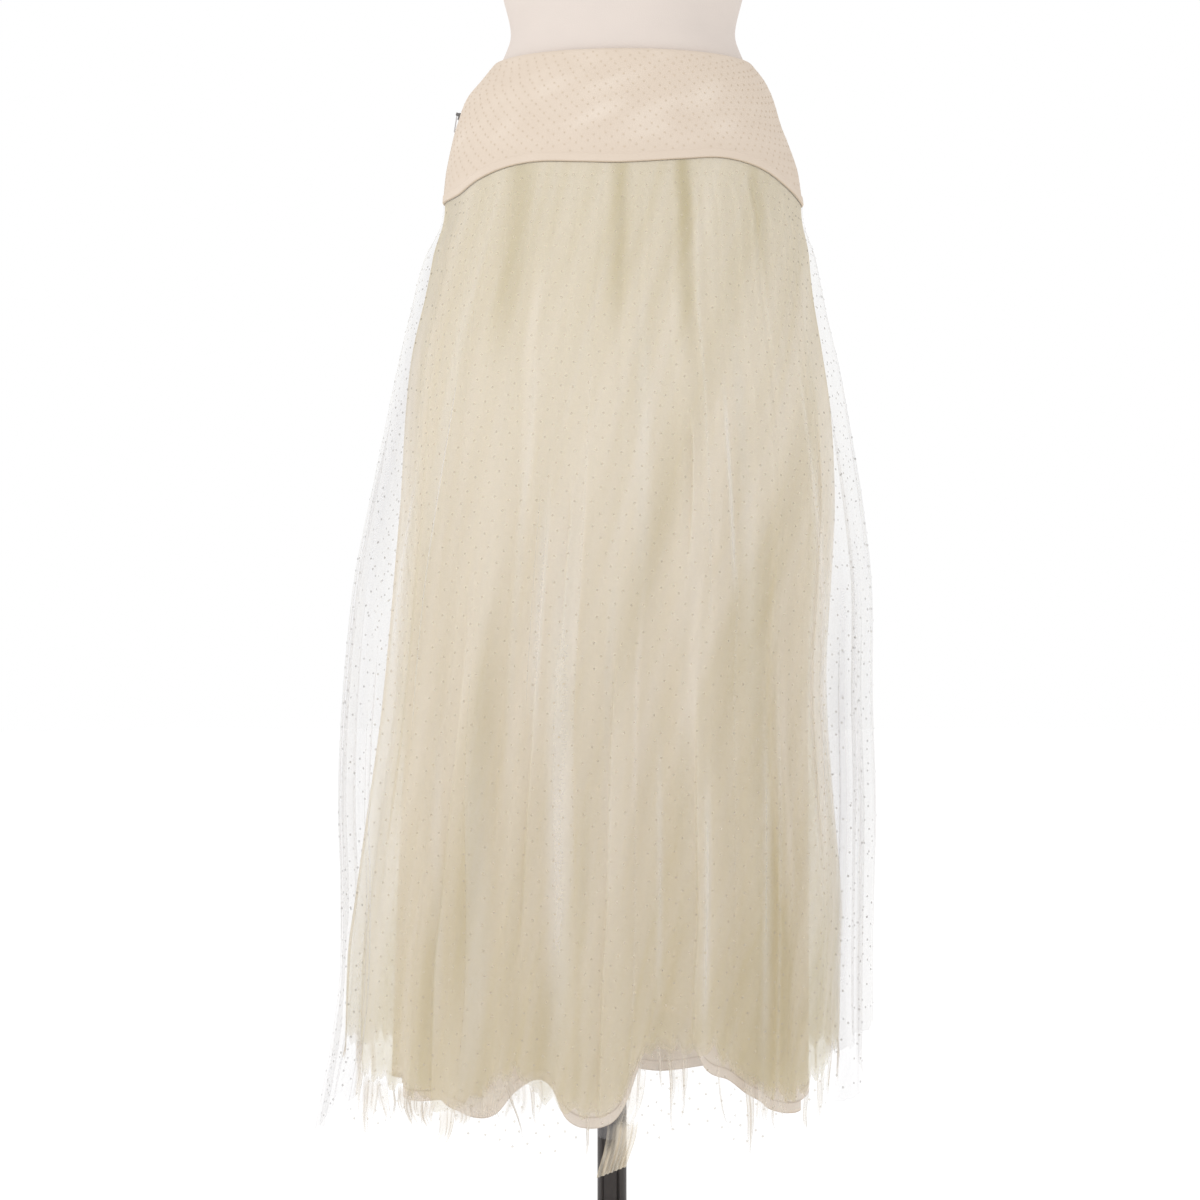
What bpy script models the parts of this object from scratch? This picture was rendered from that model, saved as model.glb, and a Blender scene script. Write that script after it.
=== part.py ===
"""A tulle skirt worn by a limbless dress form on a stand.

Metres, +Z up, the front towards -Y. The origin is the centre of the stand's underside, on the floor.
Angles are in degrees round the form, seen from above: 0 is the right side (+X), 90 the back,
180 the left side, where the zip is, and 270 the front.

The yoke is a smooth band round the hips. Three cloths are sewn into its lower seam, each with a
front and a back panel: the dotted tulle outside, a plain tulle inside it and the lining.
"""

import math
from collections import namedtuple

import bmesh
import bpy
from mathutils import Matrix, Vector

NAME = "tulle_skirt_on_dress_form"

# Driving dimensions
SEAM_GAP = 0.0003  # between pieces that are sewn together
YOKE_TOP = 1.161  # height of the yoke's level top edge
YOKE_WALL = 0.0028
CLOTH_WALL = 0.0013  # tulle and lining
LAYER_STEP = CLOTH_WALL + SEAM_GAP
FLARE_DROP = 0.050  # below the seam, where a hanging cloth has left the yoke's line
GATHER_DROP = 0.045  # below the seam, where the gathers are at their deepest
GATHER_DEPTH = 0.0034
GATHER_UNEVEN = 0.28  # the share by which gathers differ from their middle depth
FOLD_ROOM = 0.8  # the share of the room between two cloths that a large fold may take
FOLD_FULL = 0.75  # the share of the length at which a large fold is at its deepest
STRAYS = [(3, 0.70), (11, 0.35)]  # waves along a panel and degrees, for how its columns stray

POLE_RADIUS = 0.014
BASE_RADIUS = 0.165
BASE_HEIGHT = 0.016
BASE_SLOPE = 0.003  # the top face falls this much to the rim
BASE_ROUNDING = (0.006, 0.005)  # of the rim, inwards and down
BOSS_RADIUS = 0.026  # of the base's raised middle
BOSS_HEIGHT = 0.014
BOSS_BEVEL = 0.003
COLLAR_RADIUS = 0.034
COLLAR_HEIGHT = 0.026
COLLAR_FLANGE = 0.006
COLLAR_TUBE_WALL = 0.007

ZIP_WIDTH = 0.017
ZIP_WALL = 0.0010
SLIDER_HEIGHT = 1.1137  # centre of the slider's plate
SLIDER_SIZE = (0.0014, 0.0056, 0.0065)  # out from the cloth, round the body, up
PIN_RADIUS = 0.00045
PIN_RISE = 0.0015  # of the pin above the plate's centre
PIN_STAND_OFF = 0.0019  # from the plate's outer face to the pin
CHEEK_WALL = 0.0010
CHEEK_HALF_HEIGHT = 0.0013
CHEEK_NOSE = 0.0009  # how far a cheek goes past the pin
PULL_SIZE = (0.0008, 0.0042, 0.0175)  # of the tab: thick, wide, and long from the pin
PULL_TILT = 9.0  # degrees from plumb: the tab's tip rests on the hip
EYE_RADIUS = 0.00075  # of the hole in the pull
EYE_WALL = 0.00045
EYE_WIDTH = 0.0024  # along the pin
NECK_END = 0.0045  # of the pull's narrow neck, below the pin
TAB_START = 0.0040  # of its wide tab, below the pin

Outline = namedtuple("Outline", "height left right front back")
Fold = namedtuple("Fold", "angle width depth start")
Edge = namedtuple("Edge", "angle height")
Body = namedtuple("Body", "height half_width front back")
Cloth = namedtuple("Cloth", "layer columns gathered shares outline folds hem inside")

# Outer face of the yoke: how far each side stands from the stand's axis
YOKE_OUTLINE = [
    Outline(1.175, 0.1015, 0.1235, 0.0975, 0.0890),
    Outline(1.161, 0.1138, 0.1348, 0.0990, 0.0920),
    Outline(1.146, 0.1258, 0.1465, 0.1005, 0.0953),
    Outline(1.130, 0.1390, 0.1543, 0.1025, 0.0992),
    Outline(1.104, 0.1488, 0.1622, 0.1070, 0.1085),
    Outline(1.088, 0.1530, 0.1685, 0.1097, 0.1130),
    Outline(1.062, 0.1584, 0.1776, 0.1145, 0.1195),
    Outline(1.045, 0.1605, 0.1805, 0.1172, 0.1232),
    Outline(1.023, 0.1622, 0.1834, 0.1200, 0.1270),
    Outline(1.005, 0.1630, 0.1845, 0.1215, 0.1285),
]

# The yoke's lower seam: it dips at the sides and rises a little either side of the front
SEAM = [
    Edge(0, 1.0270), Edge(12, 1.0285), Edge(25, 1.0395), Edge(37, 1.0495), Edge(50, 1.0550),
    Edge(70, 1.0550), Edge(90, 1.0540), Edge(110, 1.0545), Edge(130, 1.0540), Edge(143, 1.0495),
    Edge(155, 1.0400), Edge(168, 1.0305), Edge(180, 1.0290), Edge(204, 1.0310), Edge(217, 1.0430),
    Edge(230, 1.0520), Edge(242, 1.0555), Edge(256, 1.0540), Edge(270, 1.0530), Edge(289, 1.0570),
    Edge(302, 1.0600), Edge(312, 1.0575), Edge(323, 1.0505), Edge(334, 1.0395), Edge(348, 1.0290),
]

# Crests of each hanging cloth, from just under the seam to the hem
OUTER_OUTLINE = [
    Outline(1.053, 0.1630, 0.1830, 0.1180, 0.1240),
    Outline(1.028, 0.1655, 0.1860, 0.1235, 0.1300),
    Outline(1.005, 0.1700, 0.1895, 0.1310, 0.1380),
    Outline(0.964, 0.1853, 0.1990, 0.1450, 0.1520),
    Outline(0.913, 0.1985, 0.2100, 0.1600, 0.1665),
    Outline(0.867, 0.2093, 0.2210, 0.1705, 0.1770),
    Outline(0.804, 0.2227, 0.2320, 0.1830, 0.1890),
    Outline(0.740, 0.2362, 0.2420, 0.1945, 0.2000),
    Outline(0.661, 0.2506, 0.2506, 0.2060, 0.2110),
    Outline(0.554, 0.2615, 0.2515, 0.2170, 0.2215),
    Outline(0.460, 0.2659, 0.2544, 0.2240, 0.2280),
    Outline(0.375, 0.2640, 0.2535, 0.2275, 0.2315),
    Outline(0.288, 0.2660, 0.2525, 0.2300, 0.2340),
    Outline(0.229, 0.2736, 0.2530, 0.2320, 0.2360),
    Outline(0.130, 0.2918, 0.2560, 0.2360, 0.2400),
]
INNER_OUTLINE = [
    Outline(1.053, 0.1605, 0.1805, 0.1155, 0.1215),
    Outline(1.028, 0.1632, 0.1838, 0.1208, 0.1272),
    Outline(1.005, 0.1670, 0.1870, 0.1260, 0.1325),
    Outline(0.942, 0.1815, 0.1945, 0.1385, 0.1450),
    Outline(0.886, 0.1945, 0.2040, 0.1475, 0.1540),
    Outline(0.830, 0.2005, 0.2120, 0.1560, 0.1620),
    Outline(0.748, 0.2050, 0.2160, 0.1655, 0.1710),
    Outline(0.685, 0.2100, 0.2135, 0.1720, 0.1770),
    Outline(0.592, 0.2180, 0.2080, 0.1800, 0.1850),
    Outline(0.534, 0.2240, 0.2090, 0.1840, 0.1890),
    Outline(0.446, 0.2365, 0.2155, 0.1880, 0.1930),
    Outline(0.362, 0.2480, 0.2225, 0.1910, 0.1960),
    Outline(0.315, 0.2540, 0.2215, 0.1925, 0.1975),
    Outline(0.170, 0.2580, 0.2190, 0.1945, 0.1995),
]
LINING_OUTLINE = [
    Outline(1.053, 0.1575, 0.1780, 0.1115, 0.1180),
    Outline(1.028, 0.1585, 0.1790, 0.1122, 0.1186),
    Outline(1.003, 0.1600, 0.1800, 0.1145, 0.1205),
    Outline(0.978, 0.1630, 0.1815, 0.1190, 0.1250),
    Outline(0.950, 0.1670, 0.1835, 0.1240, 0.1300),
    Outline(0.800, 0.1830, 0.1925, 0.1400, 0.1450),
    Outline(0.660, 0.1915, 0.1915, 0.1520, 0.1570),
    Outline(0.590, 0.1955, 0.1880, 0.1580, 0.1630),
    Outline(0.450, 0.2030, 0.1890, 0.1680, 0.1730),
    Outline(0.300, 0.2095, 0.1900, 0.1750, 0.1800),
    Outline(0.160, 0.2140, 0.1900, 0.1790, 0.1840),
]

# Large folds: troughs that run down to the hem. Start is the share of the length they begin at.
OUTER_FOLDS = [
    Fold(angle=10, width=8, depth=0.012, start=0.10),
    Fold(angle=29, width=7, depth=0.014, start=0.20),
    Fold(angle=47, width=8, depth=0.011, start=0.05),
    Fold(angle=66, width=7, depth=0.015, start=0.12),
    Fold(angle=83, width=6, depth=0.010, start=0.25),
    Fold(angle=101, width=8, depth=0.014, start=0.04),
    Fold(angle=119, width=6, depth=0.012, start=0.18),
    Fold(angle=137, width=8, depth=0.014, start=0.08),
    Fold(angle=154, width=6, depth=0.010, start=0.22),
    Fold(angle=170, width=7, depth=0.009, start=0.12),
    Fold(angle=189, width=6, depth=0.009, start=0.15),
    Fold(angle=204, width=7, depth=0.012, start=0.10),
    Fold(angle=220, width=7, depth=0.011, start=0.25),
    Fold(angle=234, width=6, depth=0.009, start=0.15),
    Fold(angle=247, width=7, depth=0.014, start=0.05),
    Fold(angle=258, width=5, depth=0.008, start=0.35),
    Fold(angle=269, width=6, depth=0.013, start=0.08),
    Fold(angle=284, width=7, depth=0.015, start=0.03),
    Fold(angle=300, width=6, depth=0.013, start=0.10),
    Fold(angle=314, width=6, depth=0.010, start=0.25),
    Fold(angle=328, width=8, depth=0.014, start=0.12),
    Fold(angle=345, width=7, depth=0.011, start=0.20),
]
INNER_FOLDS = [
    Fold(angle=20, width=9, depth=0.006, start=0.10),
    Fold(angle=44, width=8, depth=0.008, start=0.15),
    Fold(angle=70, width=8, depth=0.009, start=0.08),
    Fold(angle=95, width=9, depth=0.008, start=0.12),
    Fold(angle=122, width=8, depth=0.009, start=0.20),
    Fold(angle=148, width=8, depth=0.008, start=0.10),
    Fold(angle=170, width=7, depth=0.006, start=0.15),
    Fold(angle=198, width=8, depth=0.007, start=0.12),
    Fold(angle=222, width=7, depth=0.008, start=0.20),
    Fold(angle=243, width=7, depth=0.009, start=0.05),
    Fold(angle=262, width=6, depth=0.007, start=0.20),
    Fold(angle=281, width=7, depth=0.009, start=0.05),
    Fold(angle=303, width=7, depth=0.008, start=0.10),
    Fold(angle=326, width=8, depth=0.007, start=0.15),
    Fold(angle=347, width=7, depth=0.005, start=0.20),
]
LINING_FOLDS = [
    Fold(angle=14, width=13, depth=0.010, start=0.30),
    Fold(angle=42, width=12, depth=0.014, start=0.25),
    Fold(angle=70, width=12, depth=0.016, start=0.30),
    Fold(angle=98, width=12, depth=0.014, start=0.35),
    Fold(angle=126, width=12, depth=0.016, start=0.25),
    Fold(angle=152, width=11, depth=0.012, start=0.30),
    Fold(angle=172, width=9, depth=0.008, start=0.40),
    Fold(angle=194, width=10, depth=0.010, start=0.35),
    Fold(angle=217, width=10, depth=0.014, start=0.30),
    Fold(angle=251, width=12, depth=0.020, start=0.25),
    Fold(angle=284, width=12, depth=0.020, start=0.25),
    Fold(angle=326, width=11, depth=0.012, start=0.30),
    Fold(angle=348, width=9, depth=0.008, start=0.40),
]

# Heights of the raw tulle edges and of the lining's narrow hem
OUTER_HEM = [
    Edge(0, 0.238), Edge(14, 0.214), Edge(32, 0.188), Edge(50, 0.166), Edge(66, 0.180),
    Edge(82, 0.158), Edge(100, 0.172), Edge(118, 0.150), Edge(134, 0.168), Edge(150, 0.146),
    Edge(166, 0.156), Edge(180, 0.136), Edge(192, 0.150), Edge(205, 0.172), Edge(219, 0.160),
    Edge(234, 0.176), Edge(248, 0.158), Edge(262, 0.150), Edge(272, 0.172), Edge(282, 0.158),
    Edge(292, 0.176), Edge(301, 0.152), Edge(312, 0.184), Edge(326, 0.176), Edge(342, 0.206),
    Edge(353, 0.236),
]
INNER_HEM = [
    Edge(0, 0.222), Edge(22, 0.206), Edge(45, 0.214), Edge(68, 0.194), Edge(92, 0.208),
    Edge(115, 0.192), Edge(138, 0.206), Edge(160, 0.212), Edge(180, 0.216), Edge(198, 0.228),
    Edge(206, 0.206), Edge(220, 0.196), Edge(238, 0.184), Edge(246, 0.198), Edge(254, 0.216),
    Edge(261, 0.190), Edge(268, 0.184), Edge(276, 0.196), Edge(281, 0.234), Edge(291, 0.238),
    Edge(298, 0.228), Edge(306, 0.212), Edge(316, 0.190), Edge(328, 0.188), Edge(340, 0.214),
]
LINING_HEM = [
    Edge(0, 0.182), Edge(20, 0.174), Edge(42, 0.190), Edge(62, 0.176), Edge(78, 0.172),
    Edge(96, 0.178), Edge(112, 0.170), Edge(134, 0.188), Edge(156, 0.174), Edge(176, 0.190),
    Edge(191, 0.200), Edge(200, 0.187), Edge(211, 0.184), Edge(221, 0.188), Edge(228, 0.184),
    Edge(236, 0.179), Edge(242, 0.184), Edge(246, 0.202), Edge(252, 0.214), Edge(257, 0.208),
    Edge(261, 0.184), Edge(266, 0.175), Edge(273, 0.179), Edge(277, 0.196), Edge(281, 0.230),
    Edge(286, 0.272), Edge(293, 0.266), Edge(298, 0.226), Edge(306, 0.212), Edge(312, 0.198),
    Edge(319, 0.187), Edge(326, 0.177), Edge(333, 0.171), Edge(342, 0.171), Edge(352, 0.176),
]

# Rows of a hanging panel: first by their drop below the seam, then by their share of the rest
TOP_DROPS = [0, 0.020, 0.050, 0.120]
LINING = Cloth(
    layer=2, columns=36, gathered=False, shares=[0.5, 1.0],
    outline=LINING_OUTLINE, folds=LINING_FOLDS, hem=LINING_HEM, inside=None,
)
INNER = Cloth(
    layer=1, columns=72, gathered=True, shares=[0.5, 1.0],
    outline=INNER_OUTLINE, folds=INNER_FOLDS, hem=INNER_HEM, inside=LINING,
)
OUTER = Cloth(
    layer=0, columns=72, gathered=True, shares=[0.2, 0.5, 0.78, 1.0],
    outline=OUTER_OUTLINE, folds=OUTER_FOLDS, hem=OUTER_HEM, inside=INNER,
)
YOKE_COLUMNS = 36  # to a panel
YOKE_ROWS = [0, 0.13, 0.28, 0.46, 0.72, 1.0]

FORM_SHIFT = 0.0105  # the form stands a little to the right of its pole
FORM_COLUMNS = 36
FORM_SECTIONS = [
    Body(1.620, 0.0500, 0.0490, 0.0530),
    Body(1.600, 0.0515, 0.0500, 0.0545),
    Body(1.565, 0.0570, 0.0510, 0.0600),
    Body(1.545, 0.0800, 0.0560, 0.0680),
    Body(1.528, 0.1150, 0.0640, 0.0760),
    Body(1.508, 0.1450, 0.0760, 0.0860),
    Body(1.480, 0.1560, 0.0900, 0.0940),
    Body(1.440, 0.1520, 0.1050, 0.0985),
    Body(1.400, 0.1450, 0.1215, 0.0980),
    Body(1.358, 0.1405, 0.1265, 0.0945),
    Body(1.315, 0.1350, 0.1175, 0.0900),
    Body(1.270, 0.1260, 0.1010, 0.0850),
    Body(1.226, 0.1147, 0.0900, 0.0800),
    Body(1.192, 0.1075, 0.0870, 0.0790),
    Body(1.171, 0.1135, 0.0920, 0.0840),
    Body(1.150, 0.1248, 0.0960, 0.0892),
    Body(1.120, 0.1402, 0.1006, 0.0987),
    Body(1.088, 0.1517, 0.1059, 0.1092),
    Body(1.050, 0.1585, 0.1096, 0.1145),
    Body(1.010, 0.1605, 0.1098, 0.1160),
    Body(0.970, 0.1585, 0.1082, 0.1135),
    Body(0.930, 0.1520, 0.1030, 0.1070),
    Body(0.905, 0.1400, 0.0930, 0.0960),
    Body(0.895, 0.1220, 0.0790, 0.0820),
]

COLOURS = {
    "yoke_cloth": ((0.83, 0.72, 0.58), 0.85, 0.0),
    "dotted_tulle": ((0.76, 0.68, 0.54), 0.80, 0.0),
    "plain_tulle": ((0.78, 0.69, 0.55), 0.80, 0.0),
    "lining_cloth": ((0.74, 0.65, 0.50), 0.55, 0.0),
    "zip_tape": ((0.80, 0.72, 0.60), 0.80, 0.0),
    "zip_metal": ((0.42, 0.41, 0.42), 0.35, 1.0),
    "form_cover": ((0.88, 0.83, 0.80), 0.60, 0.0),
    "stand_metal": ((0.06, 0.055, 0.055), 0.40, 0.6),
}


def between(rows, at):
    """The values of a table at one height or angle, on a smooth curve through its rows.

    A row's first value is where it stands, and the rows rise or fall in that value.
    """
    if rows[0][0] > rows[-1][0]:
        rows = rows[::-1]
    at = min(max(at, rows[0][0]), rows[-1][0])
    i = max(k for k in range(len(rows) - 1) if rows[k][0] <= at)
    low, high = rows[i], rows[i + 1]
    before, after = rows[max(i - 1, 0)], rows[min(i + 2, len(rows) - 1)]
    step = high[0] - low[0]
    t = (at - low[0]) / step
    values = []
    for k in range(1, len(low)):
        slope_low = (high[k] - before[k]) / (high[0] - before[0]) * step
        slope_high = (after[k] - low[k]) / (after[0] - low[0]) * step
        values.append(
            low[k] * (2 * t**3 - 3 * t**2 + 1)
            + slope_low * (t**3 - 2 * t**2 + t)
            + high[k] * (3 * t**2 - 2 * t**3)
            + slope_high * (t**3 - t**2)
        )
    return values


def smooth_step(x):
    x = min(max(x, 0.0), 1.0)
    return x * x * (3 - 2 * x)


def section_point(outline, height, angle):
    """A point of an outline and its outward normal, both horizontal, at an angle round the form."""
    left, right, front, back = between(outline, height)
    cos, sin = math.cos(math.radians(angle)), math.sin(math.radians(angle))
    wide = (right + left) / 2
    deep = back if sin > 0 else front
    across, along = cos / wide, sin / deep
    length = math.hypot(across, along)
    point = ((right - left) / 2 + wide * cos, deep * sin)
    return point, (across / length, along / length)


def edge_height(edge, angle):
    """Height of an edge at an angle, the table running on round the form."""
    angle = angle % 360
    around = [Edge(e.angle + turn, e.height) for turn in (-360, 0, 360) for e in edge]
    return between(around, angle)[0]


def seam_height(angle):
    """Height of the yoke's lower seam, straight between the yoke's columns."""
    step = 180 / YOKE_COLUMNS
    before = math.floor(angle / step + 1e-6)
    part = angle / step - before
    first, last = before * step, (before + 1) * step
    return (1 - part) * edge_height(SEAM, first) + part * edge_height(SEAM, last)


def fold_depth(folds, angle, share):
    """How far the large folds push the cloth in at this angle and share of its length."""
    depth = 0.0
    for fold in folds:
        away = abs((angle - fold.angle + 180) % 360 - 180) / fold.width
        if away < 1:
            grown = smooth_step((share - fold.start) / (FOLD_FULL - fold.start))
            depth += fold.depth * grown * (1 + math.cos(math.pi * away)) / 2
    return depth


def gather_depth(column, drop):
    """How far a gather pushes this column in: every other column is a trough, uneven in depth."""
    if column % 2 == 0:
        return 0.0
    uneven = 1 - GATHER_UNEVEN + GATHER_UNEVEN * math.sin(column * 2.4)
    return GATHER_DEPTH * uneven * smooth_step(drop / GATHER_DROP)


def wander(column, columns, share):
    """Degrees by which a column strays sideways on its way down, none at a panel's ends."""
    turn = 2 * math.pi * column / columns
    return share * sum(degrees * math.sin(waves * turn) for waves, degrees in STRAYS)


def off_side_seam(point, start, column, columns):
    """Keeps a panel's end columns half a gap off the side seams' plane."""
    x, y = point
    if column in (0, columns):
        y = math.copysign(SEAM_GAP / 2, 90 - start)
    return x, y


def smooth_place(cloth, height, angle):
    """Where a hanging cloth's crests are: it leaves the yoke's line just below the seam."""
    seam = seam_height(angle)
    flare = smooth_step((seam - height) / FLARE_DROP)
    (yoke_x, yoke_y), normal = section_point(YOKE_OUTLINE, seam, angle)
    (x, y), _ = section_point(cloth.outline, height, angle)
    inset = cloth.layer * LAYER_STEP
    x = (1 - flare) * (yoke_x - inset * normal[0]) + flare * x
    y = (1 - flare) * (yoke_y - inset * normal[1]) + flare * y
    return (x, y), normal


def fold_room(cloth, height, angle):
    """How far in a large fold may go before it nears the cloth inside this one."""
    if cloth.inside is None:
        return math.inf
    (x, y), normal = smooth_place(cloth, height, angle)
    (x_in, y_in), _ = smooth_place(cloth.inside, height, angle)
    apart = (x - x_in) * normal[0] + (y - y_in) * normal[1] - LAYER_STEP
    spare = 0 if cloth.inside.gathered else GATHER_DEPTH
    return max(0, FOLD_ROOM * (apart - spare))


def row_heights(cloth, angle):
    """Heights of a column's points, from the seam to the hem."""
    top = seam_height(angle) - SEAM_GAP
    hem = edge_height(cloth.hem, angle)
    low = top - TOP_DROPS[-1]
    return [top - drop for drop in TOP_DROPS] + [low - share * (low - hem) for share in cloth.shares]


def length_share(cloth, angle, row):
    """A row's share of the way from the seam to the hem."""
    heights = row_heights(cloth, angle)
    return (heights[0] - heights[row]) / (heights[0] - heights[-1])


def cloth_rings(cloth, start):
    """Outer and inner rings of points of a hanging panel, from the seam down."""
    rows = len(TOP_DROPS) + len(cloth.shares)
    outer, inner = [[] for _ in range(rows)], [[] for _ in range(rows)]
    for column in range(cloth.columns + 1):
        even_angle = start + 180 * column / cloth.columns
        for row in range(rows):
            share = length_share(cloth, even_angle, row)
            angle = even_angle + wander(column, cloth.columns, share)
            height = row_heights(cloth, angle)[row]
            (x, y), normal = smooth_place(cloth, height, angle)
            room = fold_room(cloth, height, angle)
            push = min(fold_depth(cloth.folds, angle, share), room)
            if cloth.gathered:
                push += gather_depth(column, seam_height(angle) - SEAM_GAP - height)
            x, y = x - push * normal[0], y - push * normal[1]
            x_in, y_in = x - CLOTH_WALL * normal[0], y - CLOTH_WALL * normal[1]
            x, y = off_side_seam((x, y), start, column, cloth.columns)
            x_in, y_in = off_side_seam((x_in, y_in), start, column, cloth.columns)
            outer[row].append((x, y, height))
            inner[row].append((x_in, y_in, height))
    return outer, inner


def yoke_rings(start):
    """Outer and inner rings of points of a yoke panel, from its top edge down to the seam."""
    outer, inner = [], []
    for share in YOKE_ROWS:
        outer_row, inner_row = [], []
        for column in range(YOKE_COLUMNS + 1):
            angle = start + 180 * column / YOKE_COLUMNS
            height = YOKE_TOP - share * (YOKE_TOP - seam_height(angle))
            (x, y), normal = section_point(YOKE_OUTLINE, height, angle)
            x_in, y_in = x - YOKE_WALL * normal[0], y - YOKE_WALL * normal[1]
            x, y = off_side_seam((x, y), start, column, YOKE_COLUMNS)
            x_in, y_in = off_side_seam((x_in, y_in), start, column, YOKE_COLUMNS)
            outer_row.append((x, y, height))
            inner_row.append((x_in, y_in, height))
        outer.append(outer_row)
        inner.append(inner_row)
    return outer, inner


def material(slot):
    colour, roughness, metallic = COLOURS[slot]
    made = bpy.data.materials.new(slot)
    made.use_nodes = True
    shader = made.node_tree.nodes["Principled BSDF"]
    shader.inputs["Base Color"].default_value = (*colour, 1)
    shader.inputs["Roughness"].default_value = roughness
    shader.inputs["Metallic"].default_value = metallic
    return made


def add_object(name, bm, slot, parts, sharp_angle=50):
    """Turns a bmesh into a named object with its own material, shaded smooth off its edges."""
    bmesh.ops.recalc_face_normals(bm, faces=bm.faces)
    mesh = bpy.data.meshes.new(name)
    bm.to_mesh(mesh)
    bm.free()
    mesh.shade_smooth()
    mesh.set_sharp_from_angle(angle=math.radians(sharp_angle))
    made = bpy.data.objects.new(name, mesh)
    made.data.materials.append(material(slot))
    parts.objects.link(made)
    return made


def add_wall(name, outer, inner, slot, parts):
    """A closed wall between two grids of points, which have the same rows and columns."""
    bm = bmesh.new()
    rows, columns = len(outer), len(outer[0])
    out = [[bm.verts.new(p) for p in row] for row in outer]
    ins = [[bm.verts.new(p) for p in row] for row in inner]
    for r in range(rows - 1):
        for c in range(columns - 1):
            bm.faces.new((out[r][c], out[r + 1][c], out[r + 1][c + 1], out[r][c + 1]))
            bm.faces.new((ins[r][c], ins[r][c + 1], ins[r + 1][c + 1], ins[r + 1][c]))
    for c in range(columns - 1):
        for r in (0, -1):
            bm.faces.new((out[r][c], out[r][c + 1], ins[r][c + 1], ins[r][c]))
    for r in range(rows - 1):
        for c in (0, -1):
            bm.faces.new((out[r][c], out[r + 1][c], ins[r + 1][c], ins[r][c]))
    return add_object(name, bm, slot, parts)


def add_form(parts):
    """The torso: one closed skin through its sections, flat at the neck and underneath."""
    bm = bmesh.new()
    rings = []
    for body in FORM_SECTIONS:
        outline = [Outline(h, body.half_width, body.half_width, body.front, body.back) for h in (0, 2)]
        ring = []
        for column in range(FORM_COLUMNS):
            (x, y), _ = section_point(outline, 1, 360 * column / FORM_COLUMNS)
            ring.append(bm.verts.new((FORM_SHIFT + x, y, body.height)))
        rings.append(ring)
    for upper, lower in zip(rings, rings[1:]):
        for c in range(FORM_COLUMNS):
            d = (c + 1) % FORM_COLUMNS
            bm.faces.new((upper[c], lower[c], lower[d], upper[d]))
    bm.faces.new(rings[0])
    bm.faces.new(rings[-1])
    return add_object("form_torso", bm, "form_cover", parts)


def add_turned(name, profile, slot, parts, steps=32):
    """A turned piece from its half profile, listed from the top down its outer side."""
    mesh = bpy.data.meshes.new(name)
    edges = [(k, k + 1) for k in range(len(profile) - 1)]
    mesh.from_pydata([(radius, 0, height) for radius, height in profile], edges, [])
    made = bpy.data.objects.new(name, mesh)
    screw = made.modifiers.new("turn", "SCREW")
    screw.steps = steps
    screw.render_steps = steps
    screw.use_merge_vertices = True
    screw.merge_threshold = 0.0001
    made.data.materials.append(material(slot))
    parts.objects.link(made)
    return made


def add_stand(parts):
    """Round base with a low boss, a plain pole on it and a collar under the torso."""
    boss_top = BASE_HEIGHT + BOSS_HEIGHT
    inwards, down = BASE_ROUNDING
    rim = BASE_HEIGHT - BASE_SLOPE
    base = [
        (0, boss_top),
        (BOSS_RADIUS - BOSS_BEVEL, boss_top),
        (BOSS_RADIUS, boss_top - BOSS_BEVEL),
        (BOSS_RADIUS, BASE_HEIGHT),
        (BASE_RADIUS - inwards, rim),
        (BASE_RADIUS, rim - down),
        (BASE_RADIUS, 0),
        (0, 0),
    ]
    add_turned("stand_base", base, "stand_metal", parts, steps=48)
    top, foot = FORM_SECTIONS[-1].height - SEAM_GAP, boss_top + SEAM_GAP
    pole = [(0, top), (POLE_RADIUS, top), (POLE_RADIUS, foot), (0, foot)]
    add_turned("stand_pole", pole, "stand_metal", parts, steps=24)
    bore = POLE_RADIUS + SEAM_GAP
    tube = bore + COLLAR_TUBE_WALL
    collar = [
        (bore, top),
        (COLLAR_RADIUS, top),
        (COLLAR_RADIUS, top - COLLAR_FLANGE),
        (tube, top - COLLAR_FLANGE),
        (tube, top - COLLAR_HEIGHT),
        (bore, top - COLLAR_HEIGHT),
        (bore, top),
    ]
    add_turned("stand_collar", collar, "stand_metal", parts, steps=24)


def add_zip_tape(parts, front, back):
    """A strip behind the left side seam, from the yoke's top edge to its lower seam."""
    outer, inner = [], []
    half = ZIP_WIDTH / 2
    for front_row, back_row in zip(front, back):
        seam = front_row[0]
        x, height = seam[0] + SEAM_GAP, seam[2]
        edges = []
        for row, near, far in ((back_row, -1, -2), (front_row, 0, 1)):
            run = (row[far][1] - row[near][1], row[far][0] - row[near][0])
            part = half / abs(run[0])
            edges.append((row[near][0] + run[1] * part, row[near][1] + run[0] * part, row[near][2]))
        back_edge, front_edge = edges
        line = [
            (back_edge[0] + SEAM_GAP, back_edge[1], height),
            (x, 0.0, height),
            (front_edge[0] + SEAM_GAP, front_edge[1], height),
        ]
        outer.append(line)
        inner.append([(px + ZIP_WALL, py, pz) for px, py, pz in line])
    return add_wall("zip_tape", outer, inner, "zip_tape", parts)


def join(made, others, operation):
    """Joins pieces to a solid or cuts them out of it, and removes their separate objects."""
    for other in others:
        step = made.modifiers.new("step", "BOOLEAN")
        step.operation = operation
        step.object = other
        depsgraph = bpy.context.evaluated_depsgraph_get()
        mesh = bpy.data.meshes.new_from_object(made.evaluated_get(depsgraph))
        made.modifiers.clear()
        made.data = mesh
        bpy.data.objects.remove(other)


def box_object(name, low, high, slot, parts):
    """A box between two corners."""
    bm = bmesh.new()
    bmesh.ops.create_cube(bm, size=1)
    for vert in bm.verts:
        vert.co = [low[k] + (vert.co[k] + 0.5) * (high[k] - low[k]) for k in range(3)]
    return add_object(name, bm, slot, parts)


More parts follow.
